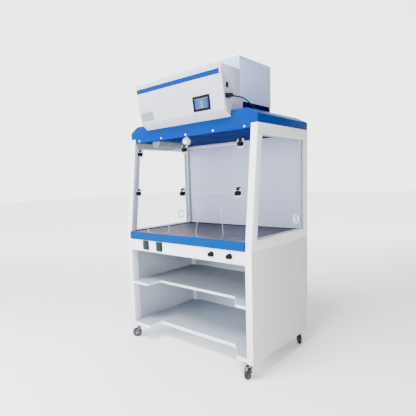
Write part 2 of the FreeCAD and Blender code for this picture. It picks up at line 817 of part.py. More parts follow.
def filter_tray():
    body = new_body("filter_tray")
    rear = at.unit_rear - at.tray_inset
    pad(body, "XY", roof_z, unit_z, rectangle((-tray_half, tray_half), (at.tray_front, rear)))
    hollow(body, at.tray_wall, roof_z, unit_z)
    keep(body, "filter_tray")


def carbon_filter():
    """Filter cassette: a frame with a recessed face above and below."""
    body = new_body("carbon_filter")
    half = tray_half - at.filter_gap
    front = at.tray_front + at.filter_gap
    rear = at.unit_rear - at.tray_inset - at.filter_gap
    top = roof_z + at.filter_height
    pad(body, "XY", roof_z, top, rectangle((-half, half), (front, rear)))
    rim = at.rim_width
    for low, high in ((roof_z, roof_z + at.rim_height), (top - at.rim_height, top)):
        item = sketch(body, "XY", high)
        outline(item, rectangle((-half + rim, half - rim), (front + rim, rear - rim)))
        feature = body.newObject("PartDesign::Pocket", "filter_face")
        feature.Profile = item
        bind(feature, "Length", at.rim_height)
        doc.recompute()
    keep(body, "carbon_filter")


def fan_box():
    body = new_body("fan_box")
    front, rear, wall, flange = at.unit_front, at.unit_rear, at.sheet, at.unit_flange
    pad(body, "XY", unit_z, unit_top, rectangle((-unit_half, unit_half), (front, rear)))
    pocket(body, "XY", unit_z + wall, unit_top - wall,
           rectangle((-unit_half + wall, unit_half - wall), (front + wall, rear - wall)))
    pocket(body, "XY", unit_z, unit_z + wall,
           rectangle((-unit_half + flange, unit_half - flange), (at.tray_front + flange, rear - flange)))
    pocket(body, "XY", unit_top - wall, unit_top, circles=[((0, fan_y), at.exhaust_radius)])
    keep(body, "fan_box")


def exhaust_grille():
    """Round guard over the outlet: concentric rings on radial spokes."""
    pieces = []
    step = (at.grille_rim - at.grille_ring_width) / at.grille_rings
    for index in range(1, int(at.grille_rings.number) + 1):
        outer = step * index + at.grille_ring_width
        pieces.append(ring("grille_ring_%d" % index, outer, outer - at.grille_ring_width,
                           (0, fan_y, unit_top), at.grille_thick))
    hub = rod("grille_hub", step, (0, fan_y, unit_top), at.grille_thick)
    pieces.append(hub)
    for index in range(int(at.grille_spokes.number) // 2):
        angle = 360 * index / at.grille_spokes.number
        bar = box("grille_bar_%d" % index, (-at.grille_rim + at.sheet, at.grille_rim - at.sheet),
                  (-at.grille_bar / 2, at.grille_bar / 2), (0, at.grille_thick))
        turn = FreeCAD.Rotation(UNIT.z, angle)
        bar.Placement = FreeCAD.Placement(FreeCAD.Vector(), turn)
        corner_x, corner_y = at.grille_rim - at.sheet, at.grille_bar / 2
        bind(bar, "Placement.Base.x", turn.multVec(UNIT.x).x * -corner_x + turn.multVec(UNIT.y).x * -corner_y)
        bind(bar, "Placement.Base.y",
             fan_y + turn.multVec(UNIT.x).y * -corner_x + turn.multVec(UNIT.y).y * -corner_y)
        bind(bar, "Placement.Base.z", unit_top)
        pieces.append(bar)
    keep(fuse("grille", *pieces), "exhaust_grille")


plate_z = unit_z + at.blower_plate_rise
wheel_z = plate_z + at.sheet + at.wheel_rise
wheel_top = wheel_z + at.wheel_height
motor_z = wheel_top + at.wheel_rise


def blower_mount():
    """Inlet plate with a flared ring, four posts and the motor on its bridge."""
    half = unit_half - at.sheet
    front, rear = at.unit_front + at.sheet, at.unit_rear - at.sheet
    plate = box("blower_plate", (-half, half), (front, rear), (plate_z, plate_z + at.sheet))
    opening = rod("blower_opening", at.inlet_radius, (0, fan_y, plate_z), at.sheet)
    pierced = cut("blower_pierced", plate, opening)
    flare = taper("inlet_flare_outer", at.inlet_radius + at.sheet, at.inlet_radius - at.inlet_flare + at.sheet,
                  (0, fan_y, plate_z), at.wheel_rise + 2 * at.sheet)
    bore = taper("inlet_flare_bore", at.inlet_radius, at.inlet_radius - at.inlet_flare,
                 (0, fan_y, plate_z), at.wheel_rise + 2 * at.sheet)
    pieces = [pierced, cut("inlet_ring", flare, bore)]
    bridge_z = motor_z + at.motor_height
    for sign_x in (-1, 1):
        for sign_y in (-1, 1):
            post = rod("motor_post", at.post_radius,
                       (at.post_spread * sign_x, fan_y + at.post_spread * sign_y, plate_z),
                       bridge_z - plate_z + at.sheet)
            pieces.append(post)
    reach = at.post_spread + 2 * at.post_radius
    for sign in (-1, 1):
        y = fan_y + at.post_spread * sign
        pieces.append(box("bridge_rail", (-reach, reach), (y - 2 * at.post_radius, y + 2 * at.post_radius),
                          (bridge_z, bridge_z + at.sheet)))
    pieces.append(box("bridge_beam", (-at.motor_radius, at.motor_radius),
                      (fan_y - reach, fan_y + reach), (bridge_z, bridge_z + at.sheet)))
    frame = fuse("blower_frame", *pieces)
    stator = rod("motor_stator", at.motor_radius, (0, fan_y, motor_z), at.motor_height)
    shaft = rod("motor_shaft", at.shaft_radius, (0, fan_y, wheel_top - at.shaft_reach),
                motor_z - wheel_top + at.shaft_reach)
    keep(group("blower_set", frame, fuse("fan_motor", stator, shaft)), "blower_mount")


def fan_wheel():
    """Centrifugal wheel: back plate and hub, backward-curved blades and a shroud ring."""
    start = (0, fan_y, wheel_z)
    back = rod("wheel_back", at.wheel_radius, (0, fan_y, wheel_top - at.sheet), at.sheet)
    shroud = ring("wheel_shroud", at.wheel_radius, at.inlet_radius + at.sheet, start, at.sheet)
    hub = rod("wheel_hub", at.hub_radius, (0, fan_y, wheel_top - at.hub_depth), at.hub_depth)
    pieces = [back, shroud, hub]
    zone = ring("wheel_zone", at.wheel_radius, at.inlet_radius + at.sheet, start, at.wheel_height)
    offset = (at.wheel_radius + at.inlet_radius) / 2
    blades = []
    for index in range(int(at.blade_count.number)):
        angle = 360 * index / at.blade_count.number
        turn = FreeCAD.Rotation(UNIT.z, angle)
        shift = turn.multVec(UNIT.x)
        side = turn.multVec(UNIT.y)
        swing = at.blade_swing
        centre = (offset * shift.x - swing * side.x, fan_y + offset * shift.y - swing * side.y, wheel_z)
        outer = doc.addObject("Part::Cylinder", "blade_outer")
        inner = doc.addObject("Part::Cylinder", "blade_inner")
        for item, radius in ((outer, at.blade_bend), (inner, at.blade_bend - at.blade_thick)):
            start_turn = FreeCAD.Rotation(UNIT.z, angle + at.blade_start.number)
            item.Placement = FreeCAD.Placement(FreeCAD.Vector(), start_turn)
            bind(item, "Angle", at.blade_arc)
            bind(item, "Radius", radius)
            bind(item, "Height", at.wheel_height)
            for letter, value in zip("xyz", centre):
                bind(item, "Placement.Base." + letter, value)
        blades.append(cut("blade_%d" % index, outer, inner))
    fan = fuse("wheel_blades", *blades)
    swept = doc.addObject("Part::MultiCommon", "wheel_swept")
    swept.Shapes = [fan, zone]
    pieces.append(swept)
    solid = fuse("wheel_solid", *pieces)
    bore = rod("wheel_bore", at.shaft_radius + at.shaft_fit, start, at.wheel_height)
    keep(cut("wheel", solid, bore), "fan_wheel")


# Control box

chin_z = shoulder_z + at.hook_height
crease_z = chin_z + at.chin_rise
crease_y = at.front_setback - at.chin_reach
control_top = shoulder_z + at.control_height + at.hook_height
brow_y = crease_y - at.control_lean
face_lean = "atan(sizes.control_lean / (sizes.control_height - sizes.chin_rise))"
inlet_y = crease_y + at.inlet_setback
inlet_z = chin_z + at.inlet_rise
switch_y = crease_y + at.switch_setback
switch_z = chin_z + at.switch_rise


def control_box():
    """Folded housing that hooks over the front of the header, with a leaning face."""
    body = new_body("control_box")
    gap = at.fit_gap
    pad(body, "YZ", -unit_half, unit_half, [
        (at.front_setback - gap, chin_z), (crease_y, crease_z), (brow_y, control_top),
        (at.unit_front - gap, control_top), (at.unit_front - gap, unit_z - gap),
        (at.tray_front - gap, unit_z - gap), (at.tray_front - gap, roof_z),
        (at.front_setback - gap, roof_z),
    ])
    wall = at.sheet
    pocket(body, "YZ", -unit_half + wall, unit_half - wall, [
        (at.front_setback - gap - wall, roof_z), (crease_y + wall, crease_z + wall / 2),
        (brow_y + wall, control_top - wall), (at.unit_front - gap - wall, control_top - wall),
        (at.unit_front - gap - wall, unit_z - gap - wall),
        (at.tray_front - gap - wall, unit_z - gap - wall), (at.tray_front - gap - wall, roof_z),
    ])
    half_y, half_z = at.inlet_width / 2 - at.entry_rim_y, at.inlet_height / 2 - at.entry_rim_z
    pocket(body, "YZ", unit_half - at.sheet, unit_half,
           rectangle((inlet_y - half_y, inlet_y + half_y), (inlet_z - half_z, inlet_z + half_z)))
    half_y, half_z = at.switch_width / 2 - at.switch_rim, at.switch_height / 2 - at.switch_rim
    pocket(body, "YZ", unit_half - at.sheet, unit_half,
           rectangle((switch_y - half_y, switch_y + half_y), (switch_z - half_z, switch_z + half_z)))
    keep(body, "control_box")


def touch_screen():
    """Screen module on the leaning face: bezel with the display set back in it."""
    body = new_body("touch_screen")
    right = unit_half - at.screen_margin
    left = right - at.screen_width
    low, high = at.screen_rise, at.screen_rise + at.screen_height
    pad(body, "XZ", -at.screen_stand, 0, rectangle((left, right), (low, high)))
    rounded(body, at.screen_round, "y", (left, low), (right, low), (left, high), (right, high))
    edge = at.screen_bezel
    pocket(body, "XZ", -at.screen_stand, -at.screen_stand + at.screen_recess, rectangle(
        (left + edge, right - edge), (low + edge, high - edge)))
    keep(body, "touch_screen", face_lean, (0, crease_y, crease_z))


def power_entry():
    """Appliance inlet and the frame of the power switch, both let into the right side."""
    x = unit_half
    back, z = inlet_y, inlet_z
    half_y, half_z = at.inlet_width / 2, at.inlet_height / 2
    flange = box("inlet_flange", (x, x + at.plate_stand), (back - half_y, back + half_y), (z - half_z, z + half_z))
    core_y, core_z = half_y - at.entry_rim_y - at.fit_gap, half_z - at.entry_rim_z - at.fit_gap
    core = box("inlet_core", (x - at.socket_deep, x), (back - core_y, back + core_y), (z - core_z, z + core_z))
    mouth_y, mouth_z = at.mouth_width / 2, at.mouth_height / 2
    mouth = box("inlet_mouth", (x - at.mouth_depth, x + at.plate_stand),
                (back - mouth_y, back + mouth_y), (z - mouth_z, z + mouth_z))
    inlet = cut("power_inlet", fuse("inlet_solid", flange, core), mouth)
    back, z = switch_y, switch_z
    half_y, half_z = at.switch_width / 2, at.switch_height / 2
    rim = box("switch_rim", (x, x + at.plate_stand), (back - half_y, back + half_y), (z - half_z, z + half_z))
    core_y, core_z = half_y - at.switch_rim - at.fit_gap, half_z - at.switch_rim - at.fit_gap
    core = box("switch_core", (x - at.socket_deep, x), (back - core_y, back + core_y), (z - core_z, z + core_z))
    well_y, well_z = at.rocker_width / 2 + at.fit_gap, at.rocker_height / 2 + at.fit_gap
    well = box("switch_well", (x - at.socket_deep / 2, x + at.plate_stand),
               (back - well_y, back + well_y), (z - well_z, z + well_z))
    frame = cut("switch_frame", fuse("switch_solid", rim, core), well)
    keep(group("power_set", inlet, frame), "power_entry")


def power_rocker():
    """Rocker of the power switch, a bar with a dished face that tips about its middle."""
    x = unit_half + at.plate_stand
    back, z = switch_y, switch_z
    half_y, half_z = at.rocker_width / 2, at.rocker_height / 2
    body = new_body("power_rocker")
    pad(body, "XZ", back - half_y, back + half_y, [
        (x - at.rocker_depth, z - half_z + at.sheet), (x + at.rocker_dish, z - half_z + at.rocker_gap),
        (x, z), (x + at.rocker_stand, z + half_z - at.sheet), (x - at.rocker_depth, z + half_z - at.sheet),
        (x - at.rocker_keel, z),
    ])
    keep(body, "power_rocker")


# Services on the apron

cover_hinge_y = -at.socket_frame - at.cover_barrel
cover_hinge_z = socket_top_z - at.cover_barrel


def socket_boxes():
    """Socket inserts: a frame on the apron, the box behind it and two lugs with the cover's pin."""
    sockets = []
    for index in range(2):
        x = socket_x(index)
        name = "socket_%d" % index
        half, tall = at.socket_width / 2, at.socket_tall / 2
        frame = box(name + "_frame", (x - half, x + half), (-at.socket_frame, 0),
                    (socket_mid_z - tall, socket_mid_z + tall))
        half, tall = at.socket_box_width / 2, at.socket_box_tall / 2
        core = box(name + "_core", (x - half, x + half), (0, at.socket_box_deep),
                   (socket_mid_z - tall, socket_mid_z + tall))
        face = rod(name + "_face", at.outlet_radius, (x, -at.socket_frame, socket_mid_z), at.outlet_depth, "y")
        solid = cut(name + "_body", fuse(name + "_solid", frame, core), face)
        lugs = []
        lug = (at.socket_width - at.cover_width) / 2 - at.fit_gap
        for low in (x - at.socket_width / 2, x + at.socket_width / 2 - lug):
            lugs.append(box(name + "_lug", (low, low + lug),
                            (cover_hinge_y - at.cover_barrel, -at.socket_frame),
                            (cover_hinge_z - at.cover_barrel, cover_hinge_z + at.cover_barrel)))
        half = at.socket_width / 2
        pin = rod(name + "_pin", at.cover_pin, (x - half, cover_hinge_y, cover_hinge_z), 2 * half, "x")
        sockets.append(fuse(name, solid, pin, *lugs))
    keep(group("socket_pair", *sockets), "socket_boxes")


def socket_covers():
    """Shut splash covers that hang from the pins."""
    for index, side in enumerate(("left", "right")):
        name = "socket_cover_" + side
        x = socket_x(index)
        half = at.cover_width / 2
        front = -at.socket_frame - at.fit_gap - at.cover_thick
        back = -at.socket_frame - at.fit_gap
        low = socket_top_z - at.cover_tall
        high = cover_hinge_z - at.cover_barrel
        shell = box(name + "_shell", (x - half, x + half), (front, back), (low, high))
        wall = at.cover_wall
        inside = box(name + "_inside", (x - half + wall, x + half - wall), (front + wall, back),
                     (low + wall, high - wall))
        panel = cut(name + "_panel", shell, inside)
        barrel = rod(name + "_barrel", at.cover_barrel, (x - half, cover_hinge_y, cover_hinge_z), 2 * half, "x")
        web = box(name + "_web", (x - half, x + half), (front, cover_hinge_y), (high, cover_hinge_z))
        bore = rod(name + "_bore", at.cover_pin + at.shaft_fit, (x - half, cover_hinge_y, cover_hinge_z),
                   2 * half, "x")
        keep(cut(name, fuse(name + "_solid", panel, barrel, web), bore), name)


def valve_bodies():
    """Remote valve bodies behind the apron, with the bore that carries the knob's stem."""
    valves = []
    for index in range(2):
        name = "valve_%d" % index
        x = valve_x(index)
        nut = doc.addObject("Part::Prism", name + "_nut")
        nut.Polygon = 6
        nut.Placement = FreeCAD.Placement(FreeCAD.Vector(), AXIS_TURN["y"])
        bind(nut, "Circumradius", at.valve_hex)
        bind(nut, "Height", at.valve_gap)
        for letter, value in zip("xyz", (x, at.sheet, valve_z)):
            bind(nut, "Placement.Base." + letter, value)
        barrel = rod(name + "_barrel", at.valve_body, (x, at.sheet, valve_z), at.valve_body_length, "y")
        tail = rod(name + "_tail", at.valve_body / 2, (x, at.sheet + at.valve_body_length - at.valve_body, valve_z),
                   at.valve_body * 2)
        bore = rod(name + "_bore", at.valve_stem + at.shaft_fit, (x, at.sheet, valve_z),
                   at.valve_body_length / 2, "y")
        valves.append(cut(name, fuse(name + "_solid", nut, barrel, tail), bore))
    keep(group("valve_pair", *valves), "valve_bodies")


def valve_knobs():
    """Round fluted knobs on stems that pass through the apron."""
    for index, side in enumerate(("left", "right")):
        name = "valve_knob_" + side
        x = valve_x(index)
        skirt = rod(name + "_skirt", at.valve_radius, (x, -at.valve_gap, valve_z), at.sheet, "y")
        bind(skirt, "Placement.Base.y", -at.valve_gap - at.sheet)
        grip = taper(name + "_grip", at.grip_front, at.grip_back,
                     (x, -valve_reach, valve_z), at.valve_height - at.sheet, "y")
        flutes = []
        count = int(at.valve_flutes.number)
        for step in range(count):
            turn = FreeCAD.Rotation(UNIT.y, 360 * step / count).multVec(UNIT.z)
            flutes.append(rod(name + "_flute", at.flute_radius,
                              (x + at.flute_orbit * turn.x, -valve_reach, valve_z + at.flute_orbit * turn.z),
                              at.valve_height - at.sheet, "y"))
        fluted = cut(name + "_fluted", grip, *flutes)
        stem = rod(name + "_stem", at.valve_stem, (x, -at.valve_gap - at.sheet, valve_z),
                   at.valve_gap + at.valve_body_length / 2, "y")
        keep(fuse(name, fluted, skirt, stem), name)


# Castors, drawn with the stem on the Z axis and the trail along +X

castor_spots = (
    ("front_left", -1, at.castor_back, 225, True),
    ("front_right", 1, at.castor_back, 275, True),
    ("rear_left", -1, at.hood_depth - at.castor_back, 225, False),
    ("rear_right", 1, at.hood_depth - at.castor_back, 310, False),
)
race_z = at.castor_height - at.castor_sheet - at.race_height
pedal_z = race_z - at.pedal_drop


def castor_place(item, label, spot):
    _, sign, back, heading, _ = spot
    item.Placement = FreeCAD.Placement(FreeCAD.Vector(), FreeCAD.Rotation(UNIT.z, heading))
    keep(item, label, base=((half_width - at.castor_inset) * sign, back, 0))


def castor_plates():
    """Top plates bolted under the base, each with the upper half of the swivel race and its rivet."""
    plates = []
    for spot in castor_spots:
        name, sign, back, _, _ = spot
        x = (half_width - at.castor_inset) * sign
        half = at.castor_plate / 2
        plate = box("plate_" + name, (x - half, x + half), (back - half, back + half),
                    (at.castor_height - at.castor_sheet, at.castor_height))
        race = rod("race_" + name, at.race_radius, (x, back, race_z), at.race_height)
        rivet = rod("rivet_" + name, at.axle_radius, (x, back, race_z - at.race_height), at.race_height)
        plates.append(fuse("castor_plate_" + name, plate, race, rivet))
    keep(group("castor_plate_set", *plates), "castor_plates")


def castor_forks():
    fork_z = race_z - at.fit_gap
    for spot in castor_spots:
        name = spot[0]
        label = "castor_fork_" + name
        crown = rod(label + "_crown", at.fork_top, (0, 0, fork_z - at.fork_sheet), at.fork_sheet)
        pieces = []
        for sign in (-1, 1):
            leg = new_body("%s_leg_%s" % (label, "near" if sign < 0 else "far"))
            low, high = sorted((sign * at.fork_half, sign * (at.fork_half + at.fork_sheet)),
                               key=lambda s: s.number)
            reach, waist = at.leg_boss, at.leg_waist
            pad(leg, "XZ", low, high, [
                (-at.fork_front, fork_z), (at.fork_back, fork_z),
                (at.trail + reach, at.tyre_radius + waist), (at.trail + waist, at.tyre_radius - reach),
                (at.trail - waist, at.tyre_radius - reach), (at.trail - reach, at.tyre_radius),
            ])
            pieces.append(leg)
        span = at.fork_half + at.fork_sheet
        axle = rod(label + "_axle", at.axle_radius, (at.trail, -span - at.axle_end, at.tyre_radius),
                   2 * (span + at.axle_end), "y")
        pieces.append(axle)
        if spot[4]:
            pieces.append(rod(label + "_pedal_pin", at.pedal_pin, (at.pedal_pivot, -span, pedal_z), 2 * span, "y"))
        hole_tool = rod(label + "_rivet_hole", at.axle_radius + at.shaft_fit,
                        (0, 0, fork_z - at.fork_sheet), at.fork_sheet)
        solid = fuse(label + "_solid", crown, *pieces)
        castor_place(cut(label, solid, hole_tool), label, spot)


def castor_wheels():
    """Wheels turned in one go: tread with eased edges, dished sides and a hub about the axle."""
    half = at.tyre_half
    hub_half = at.fork_half - at.fit_gap
    floor = half - at.dish_depth
    side = [
        (at.axle_radius + at.shaft_fit, hub_half), (at.wheel_hub, hub_half), (at.wheel_hub, floor),
        (at.wheel_dish, floor), (at.wheel_dish, half), (at.tyre_radius - at.tyre_round, half),
        (at.tyre_radius, half - at.tyre_round),
    ]
    profile = side + [(radius, -level) for radius, level in reversed(side)]
    for spot in castor_spots:
        label = "castor_wheel_" + spot[0]
        body = new_body(label)
        item = sketch(body, "XY", at.tyre_radius)
        outline(item, [(at.trail + radius, level) for radius, level in profile])
        axis = item.addGeometry(Part.LineSegment(FreeCAD.Vector(0, -1, 0), FreeCAD.Vector(0, 1, 0)), True)
        fix_point(item, axis, 1, (at.trail, -half))
        fix_point(item, axis, 2, (at.trail, half))
        feature = body.newObject("PartDesign::Revolution", label + "_turned")
        feature.Profile = item
        feature.ReferenceAxis = (item, ["Axis0"])
        doc.recompute()
        castor_place(body, label, spot)


def brake_pedals():
    """Bent foot levers of the two front castors, hinged on a pin between the fork legs."""
    for spot in castor_spots:
        if not spot[4]:
            continue
        label = "brake_pedal_" + spot[0]
        half = at.pedal_half
        top = pedal_z + at.pedal_sheet
        tip_z = pedal_z - at.pedal_fall
        body = new_body(label + "_blade")
        pad(body, "XZ", -half, half, [
            (at.pedal_pivot, pedal_z), (at.pedal_bend - at.pedal_sheet / 2, pedal_z),
            (at.pedal_tip - at.pedal_sheet, tip_z), (at.pedal_tip, tip_z + at.pedal_sheet),
            (at.pedal_bend, top), (at.pedal_pivot, top),
        ])
        barrel = rod(label + "_barrel", at.pedal_barrel, (at.pedal_pivot, -half, pedal_z), 2 * half, "y")
        bore = rod(label + "_bore", at.pedal_pin + at.shaft_fit, (at.pedal_pivot, -half, pedal_z),
                   2 * half, "y")
        castor_place(cut(label, fuse(label + "_solid", body, barrel), bore), label, spot)


# Mains lead. Its route is a list of points chosen by hand, in depths from the base's front
# plane: from the connector down to the header's roof, over the rear edge and along the floor

LEAD_ROUTE = [
    (425.5, 105, 1810), (425.5, 131, 1810), (431, 166, 1812), (441, 203, 1801), (449, 238, 1781),
    (455, 272, 1757), (459, 312, 1739), (461, 364, 1730), (460, 434, 1728.5), (456, 518, 1730),
    (452, 606, 1729), (451, 684, 1733), (453, 742, 1742), (456, 789, 1742), (459, 824, 1720),
    (461, 838, 1680), (463, 839, 1622), (466, 832, 1540), (470, 818, 1438), (474, 806, 1326),
    (477, 798, 1210), (479, 794, 1093), (479, 793, 975), (477, 795, 857), (473, 799, 740),
    (467, 805, 624), (459, 811.5, 509), (450, 820, 397), (440, 829, 292), (429, 839, 200),
    (417, 850, 126), (403, 861, 70), (384, 871, 31), (356, 880, 11), (316, 887, 4.6),
    (262, 890, 4.3), (198, 886, 4.6), (140, 873, 5.5), (98, 862, 10), (66, 860, 13), (38, 860, 13),
]
ARC_SHARE = 0.45


def lead_path(points):
    """Straight runs joined by tangent arcs, each as large as its two runs allow."""
    edges, radii = [], []
    start = points[0]
    for before, corner, after in zip(points, points[1:], points[2:]):
        back, ahead = before - corner, after - corner
        trim = ARC_SHARE * min(back.Length, ahead.Length)
        half_turn = (math.pi - back.getAngle(ahead)) / 2
        radius = trim / math.tan(half_turn)
        back.normalize()
        ahead.normalize()
        inward = back + ahead
        inward.normalize()
        middle = corner + inward * (radius / math.cos(half_turn) - radius)
        entry, leave = corner + back * trim, corner + ahead * trim
        edges.append(Part.LineSegment(start, entry).toShape())
        edges.append(Part.Arc(entry, middle, leave).toShape())
        radii.append(radius)
        start = leave
    edges.append(Part.LineSegment(start, points[-1]).toShape())
    print("lead arc radii:", " ".join("%.0f" % radius for radius in radii))
    return Part.Wire(edges)


def mains_cord():
    """The lead's tube, with a twelve-sided section of the same area as the round one."""
    points = [FreeCAD.Vector(*point) for point in LEAD_ROUTE]
    path = lead_path(points)
    area = math.pi * at.lead_radius.number ** 2
    sides = int(at.lead_sides.number)
    corner_radius = math.sqrt(2 * area / (sides * math.sin(2 * math.pi / sides)))
    ahead = (points[1] - points[0]).normalize()
    across = ahead.cross(UNIT.z)
    spoke = FreeCAD.Rotation(ahead, 360 / sides)
    corners = []
    arm = across * corner_radius
    for _ in range(sides):
        corners.append(points[0] + arm)
        arm = spoke.multVec(arm)
    section = Part.makePolygon(corners + corners[:1])
    tube = path.makePipeShell([section], True, False)
    expected = area * path.Length
    if abs(tube.Volume / expected - 1) > 0.01:
        raise RuntimeError("the lead's tube has the wrong volume")
    print("lead length %.0f, volume share %.4f" % (path.Length, tube.Volume / expected))
    item = doc.addObject("Part::Feature", "lead_tube")
    item.Shape = tube
    keep(item, "mains_cord")


def mains_connector():
    """Angled connector on the inlet, with a tapered strain relief towards the rear."""
    x = unit_half + at.plate_stand
    back, z = inlet_y, inlet_z
    tall = at.connector_tall / 2
    half = at.connector_wide / 2
    body = new_body("connector_body")
    pad(body, "XY", z - tall, z + tall, rectangle((x, x + at.connector_long), (back - half, back + half)))
    rounded(body, at.connector_tall / 4, "z", (x + at.connector_long, back - half),
            (x + at.connector_long, back + half))
    relief = taper("connector_relief", at.relief_root, at.relief_end,
                   (x + at.connector_long - tall, back + half, z), at.relief_length, "y")
    nose_y, nose_z = at.mouth_width / 2 - at.fit_gap, at.mouth_height / 2 - at.fit_gap
    nose = box("connector_nose", (x - at.nose_length, x), (back - nose_y, back + nose_y),
               (z - nose_z, z + nose_z))
    keep(fuse("mains_connector_solid", body, nose, relief), "mains_connector")


def mains_plug():
    """Mains plug lying on the floor: relief, body, two flat blades and a round earth pin."""
    end_x, end_y, end_z = LEAD_ROUTE[-1]
    root = end_x - at.relief_length
    tip = root - at.plug_long
    half = at.plug_wide / 2
    body = new_body("plug_body")
    pad(body, "XY", end_z - at.plug_tall / 2, end_z + at.plug_tall / 2,
        rectangle((tip, root), (end_y - half, end_y + half)))
    rounded(body, at.plug_tall / 4, "z", (root, end_y - half), (root, end_y + half))
    relief = taper("plug_relief", at.relief_root, at.relief_end, (root, end_y, end_z), at.relief_length, "x")
    pieces = [body, relief]
    for sign in (-1, 1):
        y = end_y + at.blade_pitch / 2 * sign
        z = end_z + at.blade_wide / 2
        pieces.append(box("plug_blade", (tip - at.blade_long, tip),
                          (y - at.blade_sheet / 2, y + at.blade_sheet / 2),
                          (z - at.blade_wide / 2, z + at.blade_wide / 2)))
    pieces.append(rod("plug_earth", at.earth_pin, (tip - at.blade_long - at.sheet, end_y, end_z - at.blade_wide),
                      at.blade_long + at.sheet, "x"))
    keep(fuse("mains_plug_solid", *pieces), "mains_plug")


base_sides()
base_rear_panel()
shelves()
front_apron()
sill_trim()
work_surface()
side_frames()
side_windows()
port_rings()
chamber_back_panel()
header_cap()
ceiling_panel()
work_lamp()
airflow_sensor()
front_strip()
upper_sash()
lower_sash()
hinge_blocks("top_hinge_blocks", upper_hinge)
hinge_leaves("upper_sash_leaves", upper_hinge)
hinge_blocks("mid_hinge_blocks", at.lower_hinge)
hinge_leaves("lower_sash_leaves", at.lower_hinge)
star_knobs()
filter_tray()
carbon_filter()
fan_box()
exhaust_grille()
blower_mount()
fan_wheel()
control_box()
touch_screen()
power_entry()
power_rocker()
socket_boxes()
socket_covers()
valve_bodies()
valve_knobs()
castor_plates()
castor_forks()
castor_wheels()
brake_pedals()
mains_connector()
mains_cord()
mains_plug()


def check_and_export():
    doc.recompute()
    for item in doc.Objects:
        if "Invalid" in item.State or "Error" in item.State:
            raise RuntimeError("%s failed: %s" % (item.Label, item.State))
    os.makedirs("parts", exist_ok=True)
    for label, item in sub_parts.items():
        shape = item.Shape
        if shape.isNull() or not shape.isValid() or not shape.Solids:
            raise RuntimeError("%s has no valid shape" % label)
        print("%-28s solids %d volume %.0f" % (label, len(shape.Solids), shape.Volume))
    for label, item in sub_parts.items():
        item.Shape.exportStep("parts/%s.step" % label)


check_and_export()
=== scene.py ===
import json
import math
import bmesh
import bpy
from mathutils import Matrix, Vector

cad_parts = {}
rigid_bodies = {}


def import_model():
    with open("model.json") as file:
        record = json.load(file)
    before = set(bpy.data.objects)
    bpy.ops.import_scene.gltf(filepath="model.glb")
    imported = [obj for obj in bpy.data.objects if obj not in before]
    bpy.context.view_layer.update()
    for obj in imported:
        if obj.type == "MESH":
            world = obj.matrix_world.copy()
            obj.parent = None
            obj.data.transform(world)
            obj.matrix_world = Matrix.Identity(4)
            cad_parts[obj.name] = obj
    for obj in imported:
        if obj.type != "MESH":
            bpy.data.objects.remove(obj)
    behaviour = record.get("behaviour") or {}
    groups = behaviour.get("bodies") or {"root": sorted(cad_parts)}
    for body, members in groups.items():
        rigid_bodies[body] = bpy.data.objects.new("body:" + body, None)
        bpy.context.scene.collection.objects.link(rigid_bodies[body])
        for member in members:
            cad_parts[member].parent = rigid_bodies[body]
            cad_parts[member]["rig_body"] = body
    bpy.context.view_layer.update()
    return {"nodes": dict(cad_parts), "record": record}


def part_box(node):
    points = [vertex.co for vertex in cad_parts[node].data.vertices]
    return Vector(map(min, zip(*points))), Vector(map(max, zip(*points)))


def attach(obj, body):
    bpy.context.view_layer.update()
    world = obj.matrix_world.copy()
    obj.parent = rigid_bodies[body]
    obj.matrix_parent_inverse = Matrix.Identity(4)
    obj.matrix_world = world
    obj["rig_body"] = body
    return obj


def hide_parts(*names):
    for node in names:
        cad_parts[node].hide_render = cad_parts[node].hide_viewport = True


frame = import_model()
nodes = frame["nodes"]

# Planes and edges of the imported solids, in metres, with heights from the floor, and the lean
# of the chamber's front
FRONT_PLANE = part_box("base_side_left")[0].y
REAR_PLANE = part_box("base_side_left")[1].y
SEAM_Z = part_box("base_side_left")[1].z
HEADER_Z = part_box("side_frame_left")[1].z
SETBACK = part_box("header_cap")[0].y - FRONT_PLANE
LEAN = math.atan(SETBACK / (HEADER_Z - SEAM_Z))
UNIT_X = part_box("control_box")[1].x
UNIT_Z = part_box("fan_box")[0].z
UNIT_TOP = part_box("fan_box")[1].z
CONTROL_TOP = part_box("control_box")[1].z
BROW_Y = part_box("control_box")[0].y

# Measures that no box of a node gives, in metres, and the lean of the control box's face
CREASE_Y = BROW_Y + 0.042
CREASE_Z = CONTROL_TOP - 0.270
FACE_LEAN = math.atan((CREASE_Y - BROW_Y) / (CONTROL_TOP - CREASE_Z))
POST_RETURN = 0.064
REAR_POST_DEPTH = 0.034
TREAD_RADIUS = 0.031
UPPER_HINGE = 0.700
LOWER_HINGE = 0.389

# Degrees: fittings and nodes are shaded sharp above the first two, nodes are rounded above
# FOLD_ANGLE, and faces closer than FLAT_ANGLE are joined before that
FITTING_SHARP = 35
NODE_SHARP = 40
FOLD_ANGLE = 38
FLAT_ANGLE = 0.5

# Least share of a normal along an axis for a face that looks along it, squarely or roughly
SQUARE = 0.9
ROUGHLY = 0.5


def linear(red, green, blue):
    """A linear colour from the 0 to 255 values of a screen colour."""
    values = []
    for value in (red, green, blue):
        part = value / 255
        values.append(part / 12.92 if part <= 0.04045 else ((part + 0.055) / 1.055) ** 2.4)
    return (*values, 1.0)


# Camera, from the corners of the hood in the photograph

CAMERA_PLACE = Vector((1.8651, FRONT_PLANE - 1.9252, 1.2827))
CAMERA_YAW, CAMERA_PITCH, CAMERA_ROLL = math.radians(-41.77), math.radians(-6.194), math.radians(1.879)
FOCAL_PIXELS = 378.98
PICTURE_PIXELS = 416
CENTRE_PIXEL = (194.9, 222.04)
SENSOR = 36.0


